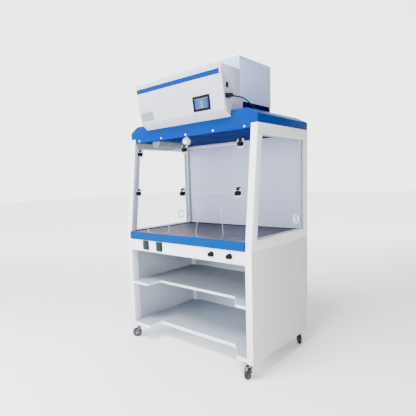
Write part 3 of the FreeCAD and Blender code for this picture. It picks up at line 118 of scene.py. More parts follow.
def make_camera():
    data = bpy.data.cameras.new("camera")
    camera = bpy.data.objects.new("camera", data)
    bpy.context.scene.collection.objects.link(camera)
    forward = Vector((
        math.cos(CAMERA_PITCH) * math.sin(CAMERA_YAW),
        math.cos(CAMERA_PITCH) * math.cos(CAMERA_YAW),
        math.sin(CAMERA_PITCH),
    ))
    level = Vector((math.cos(CAMERA_YAW), -math.sin(CAMERA_YAW), 0))
    down = forward.cross(level)
    right = math.cos(CAMERA_ROLL) * level + math.sin(CAMERA_ROLL) * down
    under = -math.sin(CAMERA_ROLL) * level + math.cos(CAMERA_ROLL) * down
    turn = Matrix((right, -under, -forward)).transposed()
    camera.matrix_world = Matrix.Translation(CAMERA_PLACE) @ turn.to_4x4()
    data.sensor_width = SENSOR
    data.lens = SENSOR * FOCAL_PIXELS / PICTURE_PIXELS
    data.shift_x = (PICTURE_PIXELS / 2 - CENTRE_PIXEL[0]) / PICTURE_PIXELS
    data.shift_y = (CENTRE_PIXEL[1] - PICTURE_PIXELS / 2) / PICTURE_PIXELS
    bpy.context.scene.camera = camera


# Materials

def shader_of(name):
    material = bpy.data.materials.new(name)
    material.use_nodes = True
    tree = material.node_tree
    return material, tree, tree.nodes["Principled BSDF"]


def place_node(tree):
    return tree.nodes.new("ShaderNodeTexCoord").outputs["Object"]


def noise(tree, scale, detail=3.0, stretch=(1, 1, 1)):
    mapping = tree.nodes.new("ShaderNodeMapping")
    mapping.inputs["Scale"].default_value = stretch
    tree.links.new(place_node(tree), mapping.inputs["Vector"])
    node = tree.nodes.new("ShaderNodeTexNoise")
    node.inputs["Scale"].default_value = scale
    node.inputs["Detail"].default_value = detail
    tree.links.new(mapping.outputs["Vector"], node.inputs["Vector"])
    return node.outputs["Fac"]


def spread(tree, value, low, high, start=0.3, end=0.7):
    """Map a pattern's value to a range."""
    node = tree.nodes.new("ShaderNodeMapRange")
    node.inputs["From Min"].default_value = start
    node.inputs["From Max"].default_value = end
    node.inputs["To Min"].default_value = low
    node.inputs["To Max"].default_value = high
    tree.links.new(value, node.inputs["Value"])
    return node.outputs["Result"]


def blend_colours(tree, value, first, second):
    node = tree.nodes.new("ShaderNodeMix")
    node.data_type = "RGBA"
    tree.links.new(value, node.inputs[0])
    for socket, colour in ((node.inputs[6], first), (node.inputs[7], second)):
        if isinstance(colour, tuple):
            socket.default_value = colour
        else:
            tree.links.new(colour, socket)
    return node.outputs[2]


def bump(tree, shader, value, strength, distance):
    node = tree.nodes.new("ShaderNodeBump")
    node.inputs["Strength"].default_value = strength
    node.inputs["Distance"].default_value = distance
    tree.links.new(value, node.inputs["Height"])
    tree.links.new(node.outputs["Normal"], shader.inputs["Normal"])


def shade(colour, factor):
    return (colour[0] * factor, colour[1] * factor, colour[2] * factor, 1.0)


def powder_coat(name, colour, roughness=0.42, floor_tint=0.0, gloss=0.22):
    """Sprayed paint: fine orange peel, slight clouding and, low down, a browner, darker tint."""
    material, tree, shader = shader_of(name)
    cloud = spread(tree, noise(tree, 2.2, 4), 0, 1)
    paint = blend_colours(tree, cloud, shade(colour, 0.965), shade(colour, 1.02))
    # Below 0.75 m the paint turns browner and darker towards the floor
    if floor_tint:
        split = tree.nodes.new("ShaderNodeSeparateXYZ")
        tree.links.new(place_node(tree), split.inputs["Vector"])
        low = spread(tree, split.outputs["Z"], floor_tint, 0, 0.1, 0.75)
        paint = blend_colours(tree, low, paint, linear(168, 158, 145))
    tree.links.new(paint, shader.inputs["Base Color"])
    rough = spread(tree, noise(tree, 14, 5), roughness - 0.05, roughness + 0.07)
    tree.links.new(rough, shader.inputs["Roughness"])
    shader.inputs["Specular IOR Level"].default_value = gloss
    bump(tree, shader, noise(tree, 700, 2), 0.10, 0.0003)
    return material


def moulded(name, colour, roughness=0.5, grain=1400, gloss=0.5):
    """Injection-moulded plastic or rubber with a fine spark-eroded grain."""
    material, tree, shader = shader_of(name)
    cloud = spread(tree, noise(tree, 30, 3), 0, 1)
    pigment = blend_colours(tree, cloud, shade(colour, 0.88), shade(colour, 1.12))
    tree.links.new(pigment, shader.inputs["Base Color"])
    rough = spread(tree, noise(tree, 120, 4), roughness - 0.08, roughness + 0.08)
    tree.links.new(rough, shader.inputs["Roughness"])
    shader.inputs["Specular IOR Level"].default_value = gloss
    bump(tree, shader, noise(tree, grain, 2), 0.15, 0.0002)
    return material


def metal(name, colour, roughness, stretch=(1, 1, 40), scale=60):
    """Bare or plated metal with a drawn or brushed direction."""
    material, tree, shader = shader_of(name)
    shader.inputs["Metallic"].default_value = 1.0
    streak = noise(tree, scale, 4, stretch)
    tree.links.new(
        blend_colours(tree, spread(tree, streak, 0, 1), shade(colour, 0.82), shade(colour, 1.05)),
        shader.inputs["Base Color"],
    )
    tree.links.new(spread(tree, streak, roughness * 0.7, roughness * 1.3), shader.inputs["Roughness"])
    bump(tree, shader, streak, 0.06, 0.0002)
    return material


def acrylic(name, colour, alpha, roughness=0.04):
    """Clear cast acrylic: tinted, with faint wipe marks in its gloss."""
    material, tree, shader = shader_of(name)
    smear = noise(tree, 5, 5, (1, 1, 0.35))
    tree.links.new(
        blend_colours(tree, spread(tree, smear, 0, 1), shade(colour, 0.97), shade(colour, 1.0)),
        shader.inputs["Base Color"],
    )
    tree.links.new(spread(tree, smear, roughness, roughness + 0.05), shader.inputs["Roughness"])
    shader.inputs["Alpha"].default_value = alpha
    material.surface_render_method = "BLENDED"
    return material


def worktop_resin(name, colour):
    """Dark cast resin: satin, with a faint speckle and swirls from cleaning."""
    material, tree, shader = shader_of(name)
    speck = spread(tree, noise(tree, 420, 2), 0, 1, 0.55, 0.75)
    tree.links.new(blend_colours(tree, speck, colour, shade(colour, 2.2)), shader.inputs["Base Color"])
    tree.links.new(spread(tree, noise(tree, 9, 6), 0.42, 0.55), shader.inputs["Roughness"])
    shader.inputs["Specular IOR Level"].default_value = 0.12
    bump(tree, shader, noise(tree, 300, 3), 0.05, 0.0002)
    return material


def filter_face(name):
    """Granular carbon behind a perforated face."""
    material, tree, shader = shader_of(name)
    cells = tree.nodes.new("ShaderNodeTexVoronoi")
    cells.inputs["Scale"].default_value = 180
    tree.links.new(place_node(tree), cells.inputs["Vector"])
    hole = spread(tree, cells.outputs["Distance"], 0, 1, 0.2, 0.45)
    face = blend_colours(tree, hole, linear(20, 20, 22), linear(120, 124, 128))
    tree.links.new(face, shader.inputs["Base Color"])
    shader.inputs["Roughness"].default_value = 0.7
    bump(tree, shader, hole, 0.4, 0.0008)
    return material


SCREEN_BLACK = (0.004, 0.006, 0.012, 1.0)


def lit(name, colour):
    """A plain mark on the lit screen."""
    material, tree, shader = shader_of(name)
    grain = spread(tree, noise(tree, 900, 1), 0, 1)
    shader.inputs["Base Color"].default_value = SCREEN_BLACK
    glow = blend_colours(tree, grain, shade(colour, 0.92), colour)
    tree.links.new(glow, shader.inputs["Emission Color"])
    shader.inputs["Emission Strength"].default_value = 1.0
    shader.inputs["Roughness"].default_value = 0.2
    return material


def display_glass(name):
    """Lit screen: a blue picture, brighter towards its middle."""
    material, tree, shader = shader_of(name)
    low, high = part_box("touch_screen")
    centre = (low + high) / 2
    fade, through = 16, 0.01
    mapping = tree.nodes.new("ShaderNodeMapping")
    mapping.inputs["Location"].default_value = (-centre.x * fade, 0, -centre.z * fade)
    mapping.inputs["Scale"].default_value = (fade, through, fade)
    tree.links.new(place_node(tree), mapping.inputs["Vector"])
    glow = tree.nodes.new("ShaderNodeTexGradient")
    glow.gradient_type = "SPHERICAL"
    tree.links.new(mapping.outputs["Vector"], glow.inputs["Vector"])
    picture = blend_colours(tree, glow.outputs["Fac"], (0.03, 0.17, 0.70, 1.0), (0.24, 0.52, 1.0, 1.0))
    shader.inputs["Base Color"].default_value = SCREEN_BLACK
    tree.links.new(picture, shader.inputs["Emission Color"])
    shader.inputs["Emission Strength"].default_value = 0.9
    shader.inputs["Roughness"].default_value = 0.18
    shader.inputs["Specular IOR Level"].default_value = 0.3
    return material


BLUE = (0.0003, 0.026, 0.168, 1.0)

mats = {
    "carcass": powder_coat("white_carcass", linear(222, 223, 226), 0.45, floor_tint=0.30),
    # Outer skin of the base sides: the white paint with painted shade, darker and warmer, as on a side
    # turned from the light
    "side_skin": powder_coat("side_skin_painted_shade", (0.60, 0.575, 0.54, 1.0), 0.45, floor_tint=0.15),
    # Painted shade: a darker blue-grey for the inner walls inside the base
    "liner": powder_coat("inner_wall_painted_shade", (0.42, 0.47, 0.55, 1.0), 0.45),
    "shelf": powder_coat("white_shelf", (0.66, 0.69, 0.76, 1.0), 0.40),
    # Painted shade on the shelf tops: darker grey than the white lips of the same sheet
    "shelf_top": powder_coat("shelf_top_painted_shade", (0.27, 0.30, 0.355, 1.0), 0.42),
    "apron": powder_coat("white_apron", linear(218, 221, 230), 0.42),
    "trim": powder_coat("blue_trim", (0.0003, 0.036, 0.170, 1.0), 0.45, gloss=0.02),
    "worktop": worktop_resin("dark_worktop", linear(48, 48, 59)),
    "worktop_edge": moulded("black_worktop_rim", linear(14, 14, 18), 0.45, gloss=0.1),
    "side_pane": acrylic("clear_side_pane", linear(120, 136, 152), 0.02),
    "front_pane": acrylic("clear_front_pane", linear(120, 136, 152), 0.012),
    "pane_edge": acrylic("polished_pane_edge", linear(236, 242, 248), 0.62, 0.15),
    "port_face": acrylic("frosted_port_flange", linear(226, 230, 236), 0.30, 0.3),
    "white_plastic": moulded("white_plastic", linear(226, 229, 233), 0.42),
    # Chamber back wall: painted shade, a darker blue-grey for the shade under the header
    "back_wall": powder_coat("back_wall_painted_shade", (0.36, 0.39, 0.53, 1.0), 0.45),
    # Painted shade: grey on the chamber side of the white side frames
    "frame_inside": powder_coat("frame_inside_painted_shade", (0.30, 0.32, 0.40, 1.0), 0.45),
    "header_blue": powder_coat("blue_header", BLUE, 0.45, gloss=0.03),
    "ceiling_blue": powder_coat("dark_blue_ceiling", (0.001, 0.008, 0.09, 1.0), 0.5, gloss=0.0),
    "lamp": moulded("grey_lamp_body", linear(104, 107, 114), 0.45),
    "lamp_cap": moulded("dark_lamp_cap", linear(70, 72, 78), 0.45),
    "hinge_black": moulded("black_hinge", linear(13, 13, 17), 0.45, gloss=0.12),
    "hinge_grey": moulded("pale_hinge_leaf", linear(172, 176, 186), 0.40, gloss=0.3),
    # Dark navy: painted shade on the blue plinth under the fan box, standing in for the shadow gap there
    "tray_navy": powder_coat("navy_tray_painted_shade", (0.001, 0.003, 0.045, 1.0), 0.5, gloss=0.0),
    "filter": filter_face("carbon_face"),
    # The off-white fan box, tinted darker and bluer: painted shade of its sides
    "unit_grey": powder_coat("pale_fan_box_painted_shade", (0.42, 0.51, 0.78, 1.0), 0.42),
    "grille": powder_coat("black_grille", linear(26, 26, 28), 0.35),
    "zinc": metal("zinc_plate", linear(186, 186, 184), 0.28, (1, 1, 1), 90),
    "fan": metal("fan_sheet", linear(198, 200, 204), 0.30, (1, 1, 20)),
    # The white control box, darkened to a blue-grey: painted shade on its down-leaning face
    "control_white": powder_coat("white_control_box_painted_shade", (0.41, 0.43, 0.50, 1.0), 0.42),
    "screen": moulded("black_bezel", linear(14, 14, 20), 0.30, gloss=0.15),
    "display": display_glass("blue_display"),
    "icon": lit("pale_icon", (0.75, 1.0, 1.25, 1.0)),
    "display_line": lit("display_line", (0.30, 0.42, 0.70, 1.0)),
    "black_plastic": moulded("black_plastic", linear(20, 20, 24), 0.42, gloss=0.2),
    "socket": moulded("teal_grey_socket", (0.012, 0.020, 0.021, 1.0), 0.5, gloss=0.15),
    "brass": metal("turned_brass", linear(206, 176, 110), 0.25, (1, 30, 1)),
    "valve_black": moulded("black_valve_knob", linear(9, 9, 12), 0.42, gloss=0.12),
    "knob_black": moulded("black_star_knob", linear(9, 9, 12), 0.45, gloss=0.12),
    "tyre": moulded("grey_tyre", linear(36, 37, 40), 0.55, 900, gloss=0.2),
    "wheel_core": moulded("grey_wheel_core", linear(60, 61, 65), 0.45),
    "fork_steel": metal("fork_steel", linear(96, 98, 102), 0.42, (1, 1, 1), 60),
    "chrome": metal("chrome_plate", linear(226, 228, 232), 0.08, (1, 1, 1), 20),
    "lead": moulded("black_lead", linear(14, 14, 20), 0.42, gloss=0.2),
    "steel": metal("screw_steel", linear(200, 202, 204), 0.22, (1, 1, 1), 400),
    "plate": powder_coat("grey_blank_plate", linear(118, 123, 134), 0.30),
    "seal": moulded("grey_window_seal", linear(120, 126, 136), 0.5, gloss=0.2),
    "screw_cap": moulded("pale_screw_cap", linear(214, 240, 244), 0.28),
}


# Mesh building

class Build:
    """Collects shapes into one mesh."""

    def __init__(self):
        self.mesh = bmesh.new()

    def box(self, low, high, bevel=0.0, steps=2):
        low, high = Vector(low), Vector(high)
        made = bmesh.ops.create_cube(self.mesh, size=1.0)["verts"]
        middle, size = (low + high) / 2, high - low
        for vert in made:
            vert.co = Vector(a * b for a, b in zip(vert.co, size)) + middle
        if bevel:
            edges = list({edge for vert in made for edge in vert.link_edges})
            bmesh.ops.bevel(self.mesh, geom=edges, offset=bevel, segments=steps, affect="EDGES",
                            profile=0.5)

    def turned(self, profile, place, direction, steps=24):
        """Revolve (radius, height) pairs about an axis through place."""
        spin = Vector((0, 0, 1)).rotation_difference(Vector(direction)).to_matrix().to_4x4()
        move = Matrix.Translation(Vector(place)) @ spin
        rows = []
        for radius, height in profile:
            if radius < 1e-6:
                rows.append([self.mesh.verts.new(move @ Vector((0, 0, height)))])
                continue
            row = []
            for index in range(steps):
                angle = 2 * math.pi * index / steps
                point = Vector((radius * math.cos(angle), radius * math.sin(angle), height))
                row.append(self.mesh.verts.new(move @ point))
            rows.append(row)
        for lower, upper in zip(rows, rows[1:]):
            for index in range(steps):
                after = (index + 1) % steps
                if len(lower) == 1:
                    self.mesh.faces.new((lower[0], upper[index], upper[after]))
                elif len(upper) == 1:
                    self.mesh.faces.new((lower[index], lower[after], upper[0]))
                else:
                    self.mesh.faces.new((lower[index], lower[after], upper[after], upper[index]))

    def flat(self, corners, thickness, outward):
        """A thin plate on a surface, from its corners and the surface's outward normal."""
        outward = Vector(outward).normalized()
        base = [self.mesh.verts.new(Vector(corner)) for corner in corners]
        top = [self.mesh.verts.new(Vector(corner) + outward * thickness) for corner in corners]
        self.mesh.faces.new(base)
        self.mesh.faces.new(top)
        for index in range(len(corners)):
            after = (index + 1) % len(corners)
            self.mesh.faces.new((base[index], base[after], top[after], top[index]))

    def screw(self, place, direction, radius=0.0035):
        """Pan-head screw with a round recess, from its shape in radii."""
        shape = (
            (1, -0.1), (1, 0.35), (0.85, 0.62), (0.5, 0.72), (0.45, 0.72), (0.4, 0.3), (0, 0.3),
        )
        self.turned([(radius * out, radius * up) for out, up in shape], place, direction, 12)

    def done(self, name, material, body, slot):
        """Make the piece, with its material, and put it on its body."""
        bmesh.ops.recalc_face_normals(self.mesh, faces=self.mesh.faces)
        data = bpy.data.meshes.new(name)
        self.mesh.to_mesh(data)
        self.mesh.free()
        item = bpy.data.objects.new(name, data)
        bpy.context.scene.collection.objects.link(item)
        finish_mesh(item, FITTING_SHARP)
        data.materials.append(mats[material])
        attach(item, body)


def finish_mesh(item, sharp_angle):
    data = item.data
    data.polygons.foreach_set("use_smooth", [True] * len(data.polygons))
    data.set_sharp_from_angle(angle=math.radians(sharp_angle))


def body_of(node):
    return nodes[node]["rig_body"]


slots = {entry["node"]: entry["material_slot"] for entry in frame["record"]["subparts"]}


def painted(item, shape, node, paint):
    """Give each face the material that paint names for its place and normal."""
    kinds = [slots[node]]
    for face in shape.faces:
        kind = paint(face.calc_center_median(), face.normal) or slots[node]
        if kind not in kinds:
            kinds.append(kind)
        face.material_index = kinds.index(kind)
    item.data.materials.clear()
    for kind in kinds:
        item.data.materials.append(mats[kind])


def softened(node, width, steps=2, paint=None):
    """A copy of a node with its folded edges rounded, which stands for the node."""
    source = nodes[node]
    data = source.data.copy()
    data.materials.clear()
    item = bpy.data.objects.new(node + "_skin", data)
    bpy.context.scene.collection.objects.link(item)
    shape = bmesh.new()
    shape.from_mesh(data)
    bmesh.ops.remove_doubles(shape, verts=shape.verts, dist=1e-6)
    bmesh.ops.dissolve_limit(shape, angle_limit=math.radians(FLAT_ANGLE), verts=shape.verts,
                             edges=shape.edges)
    sharp = [edge for edge in shape.edges
             if len(edge.link_faces) == 2 and edge.calc_face_angle(0) > math.radians(FOLD_ANGLE)]
    bmesh.ops.bevel(shape, geom=sharp, offset=width, segments=steps, affect="EDGES", profile=0.5,
                    clamp_overlap=True, loop_slide=True)
    data.materials.append(mats[slots[node]])
    if paint:
        painted(item, shape, node, paint)
    shape.to_mesh(data)
    shape.free()
    finish_mesh(item, NODE_SHARP)
    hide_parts(node)
    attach(item, body_of(node))


def wall_paint(place, normal):
    """White posts, an outer skin with painted shade, darker and warmer than the posts, and an inner wall
    with painted shade, a darker blue-grey, between the posts.
    """
    if abs(normal.x) < SQUARE:
        return None
    # Outer faces get the painted shade of the side skin
    if normal.x * place.x > 0:
        return "side_skin"
    # Between the posts the inner face gets painted shade, a darker blue-grey
    if FRONT_PLANE + POST_RETURN < place.y < REAR_PLANE - REAR_POST_DEPTH:
        return "liner"
    return None


def rear_paint(place, normal):
    """Outer faces of the rear skins are white."""
    return "carcass" if normal.y > ROUGHLY else None


def shelf_paint(place, normal):
    """The tops of the shelves get painted shade, a darker grey than their white lips."""
    return "shelf_top" if normal.z > SQUARE else None


def pane_paint(across):
    """Clear faces and bright, polished edges."""
    return lambda place, normal: None if abs(normal.dot(across)) > SQUARE else "pane_edge"


def wheel_paint(node):
    """Rubber tread on a harder core."""
    low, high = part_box(node)
    hub = (low + high) / 2
    return lambda place, normal: None if (place - hub).length > TREAD_RADIUS else "wheel_core"


def lamp_paint(place, normal):
    """The lamp's left end cap is darker."""
    cap = 0.012
    return "lamp_cap" if place.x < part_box("work_lamp")[0].x + cap else None


def port_paint(place, normal):
    """Frosted flanges with white rims."""
    return "port_face" if abs(normal.x) > SQUARE else None


def worktop_paint(place, normal):
    """The rim and all upright faces are black, the tray inside the rim dark grey."""
    rim_depth = 0.003
    on_rim = place.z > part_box("work_surface")[1].z - rim_depth
    return "worktop_edge" if on_rim or abs(normal.z) < ROUGHLY else None


def frame_paint(place, normal):
    """The chamber side of a side frame and its rear jamb get painted shade, in grey."""
    inside = normal.x * place.x < 0 and abs(normal.x) > SQUARE
    jamb = normal.y < -SQUARE and place.y > 0
    return "frame_inside" if inside or jamb else None


def dress_nodes():
    """Give every node its materials, and the folded and glazed ones rounded edges."""
    for name, item in nodes.items():
        item.data.materials.clear()
        item.data.materials.append(mats[slots[name]])
        finish_mesh(item, NODE_SHARP)
        shape = bmesh.new()
        shape.from_mesh(item.data)
        shape.normal_update()
        if name.startswith(("castor_fork", "castor_plates")):
            painted(item, shape, name, lambda place, normal: "fork_steel")
        elif name.startswith("castor_wheel"):
            painted(item, shape, name, wheel_paint(name))
        elif name == "port_rings":
            painted(item, shape, name, port_paint)
        shape.to_mesh(item.data)
        shape.free()
    folds = {
        "base_side_left": 0.0022, "base_side_right": 0.0022, "base_rear_panel": 0.0012,
        "bottom_shelf": 0.0016, "middle_shelf": 0.0016, "front_apron": 0.0006, "work_surface": 0.0008,
        "side_frame_left": 0.0020, "side_frame_right": 0.0020, "chamber_back_panel": 0.0010,
        "header_cap": 0.0008, "ceiling_panel": 0.0008, "filter_tray": 0.0010, "fan_box": 0.0008,
        "control_box": 0.0009, "work_lamp": 0.0015, "touch_screen": 0.0008,
        "socket_cover_left": 0.0008, "socket_cover_right": 0.0008, "mains_connector": 0.0015,
        "mains_plug": 0.0015,
    }
    paints = {
        "base_side_left": wall_paint, "base_side_right": wall_paint, "base_rear_panel": rear_paint,
        "bottom_shelf": shelf_paint, "middle_shelf": shelf_paint, "work_surface": worktop_paint,
        "chamber_back_panel": rear_paint, "work_lamp": lamp_paint,
        "side_frame_left": frame_paint, "side_frame_right": frame_paint,
    }
    for name, width in folds.items():
        softened(name, width, paint=paints.get(name))
    polish = 0.0006
    for name in ("front_strip", "upper_sash", "lower_sash"):
        softened(name, polish, 1, pane_paint(SLOPE_OUT))
    softened("side_windows", polish, 1, pane_paint(Vector((1, 0, 0))))


def on_slope(x, out, up):
    """A point on the leaning front: x, distance out of the front plane, distance up the slope."""
    return Vector((
        x,
        FRONT_PLANE - out * math.cos(LEAN) + up * math.sin(LEAN),
        SEAM_Z + out * math.sin(LEAN) + up * math.cos(LEAN),
    ))


def on_face(x, out, up):
    """A point on the control box's leaning face, from the crease upwards."""
    return Vector((
        x,
        CREASE_Y - out * math.cos(FACE_LEAN) - up * math.sin(FACE_LEAN),
        CREASE_Z - out * math.sin(FACE_LEAN) + up * math.cos(FACE_LEAN),
    ))


FACE_OUT = Vector((0, -math.cos(FACE_LEAN), -math.sin(FACE_LEAN)))
SLOPE_OUT = Vector((0, -math.cos(LEAN), math.sin(LEAN)))


def face_up(height):
    """How far up the leaning face a height above the floor lies."""
    return (height - CREASE_Z) / math.cos(FACE_LEAN)


def face_plate(build, left, right, low, high, out, thickness):
    """A thin plate on the leaning face, with its lower and upper edges measured up the face."""
    outline = ((left, low), (right, low), (right, high), (left, high))
    build.flat([on_face(x, out, up) for x, up in outline], thickness, FACE_OUT)


# Mains lead, on the part's own route: metres, with depths from the front plane of the base

LEAD_ROUTE = [
    (0.4255, 0.105, 1.810), (0.4255, 0.131, 1.810), (0.431, 0.166, 1.812), (0.441, 0.203, 1.801),
    (0.449, 0.238, 1.781), (0.455, 0.272, 1.757), (0.459, 0.312, 1.739), (0.461, 0.364, 1.730),
    (0.460, 0.434, 1.7285), (0.456, 0.518, 1.730), (0.452, 0.606, 1.729), (0.451, 0.684, 1.733),
    (0.453, 0.742, 1.742), (0.456, 0.789, 1.742), (0.459, 0.824, 1.720), (0.461, 0.838, 1.680),
    (0.463, 0.839, 1.622), (0.466, 0.832, 1.540), (0.470, 0.818, 1.438), (0.474, 0.806, 1.326),
    (0.477, 0.798, 1.210), (0.479, 0.794, 1.093), (0.479, 0.793, 0.975), (0.477, 0.795, 0.857),
    (0.473, 0.799, 0.740), (0.467, 0.805, 0.624), (0.459, 0.8115, 0.509), (0.450, 0.820, 0.397),
    (0.440, 0.829, 0.292), (0.429, 0.839, 0.200), (0.417, 0.850, 0.126), (0.403, 0.861, 0.070),
    (0.384, 0.871, 0.031), (0.356, 0.880, 0.011), (0.316, 0.887, 0.0046), (0.262, 0.890, 0.0043),
    (0.198, 0.886, 0.0046), (0.140, 0.873, 0.0055), (0.098, 0.862, 0.010), (0.066, 0.860, 0.013),
    (0.038, 0.860, 0.013),
]
LEAD_DIAMETER = 0.008


def mains_lead():
    points = [Vector((x, y + FRONT_PLANE, z)) for x, y, z in LEAD_ROUTE]
    curve = bpy.data.curves.new("mains_lead", "CURVE")
    curve.dimensions = "3D"
    curve.bevel_depth = LEAD_DIAMETER / 2
    curve.bevel_resolution = 6
    curve.resolution_u = 12
    curve.use_fill_caps = True
    spline = curve.splines.new("NURBS")
    spline.points.add(len(points) - 1)
    for target, point in zip(spline.points, points):
        target.co = (*point, 1.0)
    spline.order_u = 3
    spline.use_endpoint_u = True
    lead = bpy.data.objects.new("mains_lead", curve)
    bpy.context.scene.collection.objects.link(lead)
    curve.materials.append(mats["lead"])
    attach(lead, "hood")
    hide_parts("mains_cord")


# Small fittings that the solids leave out

def fascia_caps():
    """Five domed caps over the screws along the header's lower front edge."""
    build = Build()
    face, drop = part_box("header_cap")[0].y, 0.015
    dome = [(0.0062, 0), (0.0062, 0.001), (0.0052, 0.0022), (0.003, 0.0028), (0, 0.003)]
    for x in (-0.501, -0.2505, 0.0, 0.2505, 0.501):
        build.turned(dome, (x, face, HEADER_Z - drop), (0, -1, 0), 20)
    build.done("fascia_screw_caps", "screw_cap", "hood", "white_plastic")


def face_stripe():
    """Blue stripe across the control box's leaning face, near its top."""
    build = Build()
    left_gap, right_gap, low, high = 0.001, 0.016, 1.940, 1.971
    face_plate(build, -UNIT_X + left_gap, UNIT_X - right_gap, face_up(low), face_up(high), 0.0, 0.0003)
    build.done("face_stripe", "header_blue", "hood", "header_blue")


def blank_plate():
    """Plain grey plate, low on the left of the leaning face."""
    build = Build()
    left, right, low, high = -0.388, -0.258, 1.737, 1.805
    face_plate(build, left, right, face_up(low), face_up(high), 0.0, 0.0005)
    build.done("blank_plate", "plate", "hood", "control_white")


def display():
    """Lit picture in the screen's recess, with plain shapes on it and a black border round it."""
    low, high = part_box("touch_screen")
    border, foot, head = 0.0165, 0.012, 0.110
    left, right = low.x + border, high.x - border
    base, top = foot + border, head - border
    middle = (left + right) / 2
    picture_out, picture_thick, mark_thick = 0.0018, 0.0002, 0.0001
    mark_out, button_out = picture_out + picture_thick, picture_out + 0.0003
    build = Build()
    face_plate(build, left, right, base, top, picture_out, picture_thick)
    build.done("display_panel", "display", "hood", "screen")
    build = Build()
    bar_height, line_half, line_low, line_high = 0.007, 0.020, 0.0265, 0.0275
    face_plate(build, left, right, top - bar_height, top, mark_out, mark_thick)
    face_plate(build, middle - line_half, middle + line_half, base + line_low, base + line_high,
               mark_out, mark_thick)
    build.done("display_bars", "display_line", "hood", "screen")
    build = Build()
    oval_half, oval_sides = 0.0038, 12
    for up, half in ((0.044, 0.010), (0.034, 0.007), (0.019, 0.012), (0.009, 0.008)):
        corners = []
        for index in range(oval_sides):
            angle = math.pi * (index + 0.5) / (oval_sides / 2)
            x = middle + half * math.cos(angle)
            corners.append(on_face(x, mark_out, base + up + oval_half * math.sin(angle)))
        build.flat(corners, mark_thick, FACE_OUT)
    inset, pitch, button_half, button_low, button_high = 0.012, 0.028, 0.006, 0.0015, 0.0045
    for index in range(4):
        x = left + inset + pitch * index
        face_plate(build, x - button_half, x + button_half, base + button_low, base + button_high,
                   button_out, mark_thick)
    build.done("display_tiles", "icon", "hood", "screen")


def side_screws():
    """Screws on the control box's right end, beside its inlet, and on both ends of the fan box."""
    build = Build()
    right, washer_thick = (1, 0, 0), 0.0012
    inlet_depth, inlet_z, inlet_proud, inlet_reach = 0.062, 1.810, 0.0025, 0.0204
    y, z = FRONT_PLANE + 0.123, 1.760
    washer = [(0.0075, 0), (0.0075, 0.001), (0.006, washer_thick), (0, washer_thick)]
    build.turned(washer, (UNIT_X, y, z), right, 24)
    build.screw((UNIT_X + washer_thick, y, z), right, 0.0048)
    build.screw((UNIT_X, FRONT_PLANE + 0.015, 1.918), right, 0.0038)
    for reach in (inlet_reach, -inlet_reach):
        place = (UNIT_X + inlet_proud, FRONT_PLANE + inlet_depth + reach, inlet_z)
        build.screw(place, right, 0.0022)
    margin = 0.018
    for z in (UNIT_Z + margin, UNIT_TOP - margin):
        for y in (FRONT_PLANE + 0.222, FRONT_PLANE + 0.395, FRONT_PLANE + 0.568):
            for side in (-1, 1):
                build.screw((side * UNIT_X, y, z), (side, 0, 0), 0.0032)
    build.done("unit_screws", "steel", "hood", "zinc")


def rear_fittings():
    """Folded hems round the rear skins, with their screws, and two stiffening ribs down each."""
    hems, screws = Build(), Build()
    hem, proud, fold, screw_radius = 0.022, 0.0012, 0.0004, 0.0036
    rib_half, rib_proud, rib_fold, rib_margin = 0.009, 0.0022, 0.0018, 0.07
    for name, rows in (("base_rear_panel", 4), ("chamber_back_panel", 5)):
        low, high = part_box(name)
        face = high.y
        outside = face + proud
        hems.box((low.x, face, low.z), (low.x + hem, outside, high.z), fold, 1)
        hems.box((high.x - hem, face, low.z), (high.x, outside, high.z), fold, 1)
        hems.box((low.x + hem, face, low.z), (high.x - hem, outside, low.z + hem), fold, 1)
        hems.box((low.x + hem, face, high.z - hem), (high.x - hem, outside, high.z), fold, 1)
        third = (high.x - low.x) / 3
        for x in (low.x + third, high.x - third):
            hems.box((x - rib_half, face, low.z + rib_margin),
                     (x + rib_half, face + rib_proud, high.z - rib_margin), rib_fold, 2)
        for index in range(rows):
            z = low.z + hem / 2 + (high.z - low.z - hem) * index / (rows - 1)
            for x in (low.x + hem / 2, high.x - hem / 2):
                screws.screw((x, outside, z), (0, 1, 0), screw_radius)
        for index in range(1, 5):
            x = low.x + hem / 2 + (high.x - low.x - hem) * index / 5
            for z in (low.z + hem / 2, high.z - hem / 2):
                screws.screw((x, outside, z), (0, 1, 0), screw_radius)
    hems.done("rear_hems", "carcass", "hood", "carcass")
    screws.done("rear_screws", "steel", "hood", "zinc")


def unit_fittings():
    """The lid's folded rim on the fan box, a seam down each rear corner and the rear screws."""
    low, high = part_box("fan_box")
    rim, proud, fold, gap, seam, seam_gap = 0.024, 0.001, 0.0004, 0.001, 0.020, 0.0015
    outside, lid = high.y + proud, high.z - gap
    build = Build()
    build.box((low.x, high.y, high.z - rim), (high.x, outside, lid), fold, 1)
    for side in (-1, 1):
        start, end = sorted((side * UNIT_X, side * (UNIT_X + proud)))
        build.box((start, low.y + 0.002, high.z - rim), (end, outside, lid), fold, 1)
        start, end = sorted((side * UNIT_X, side * (UNIT_X - seam)))
        build.box((start, high.y, low.z + gap), (end, outside, high.z - rim - seam_gap), fold, 1)
    build.done("unit_hems", "unit_grey", "hood", "unit_grey")
    build = Build()
    reach, pitch, margin, screw_radius = 0.36, 0.144, 0.018, 0.0032
    for index in range(6):
        x = -reach + pitch * index
        build.screw((x, outside, high.z - rim / 2), (0, 1, 0), screw_radius)
        build.screw((x, high.y, low.z + margin), (0, 1, 0), screw_radius)
    build.done("unit_rear_screws", "steel", "hood", "zinc")


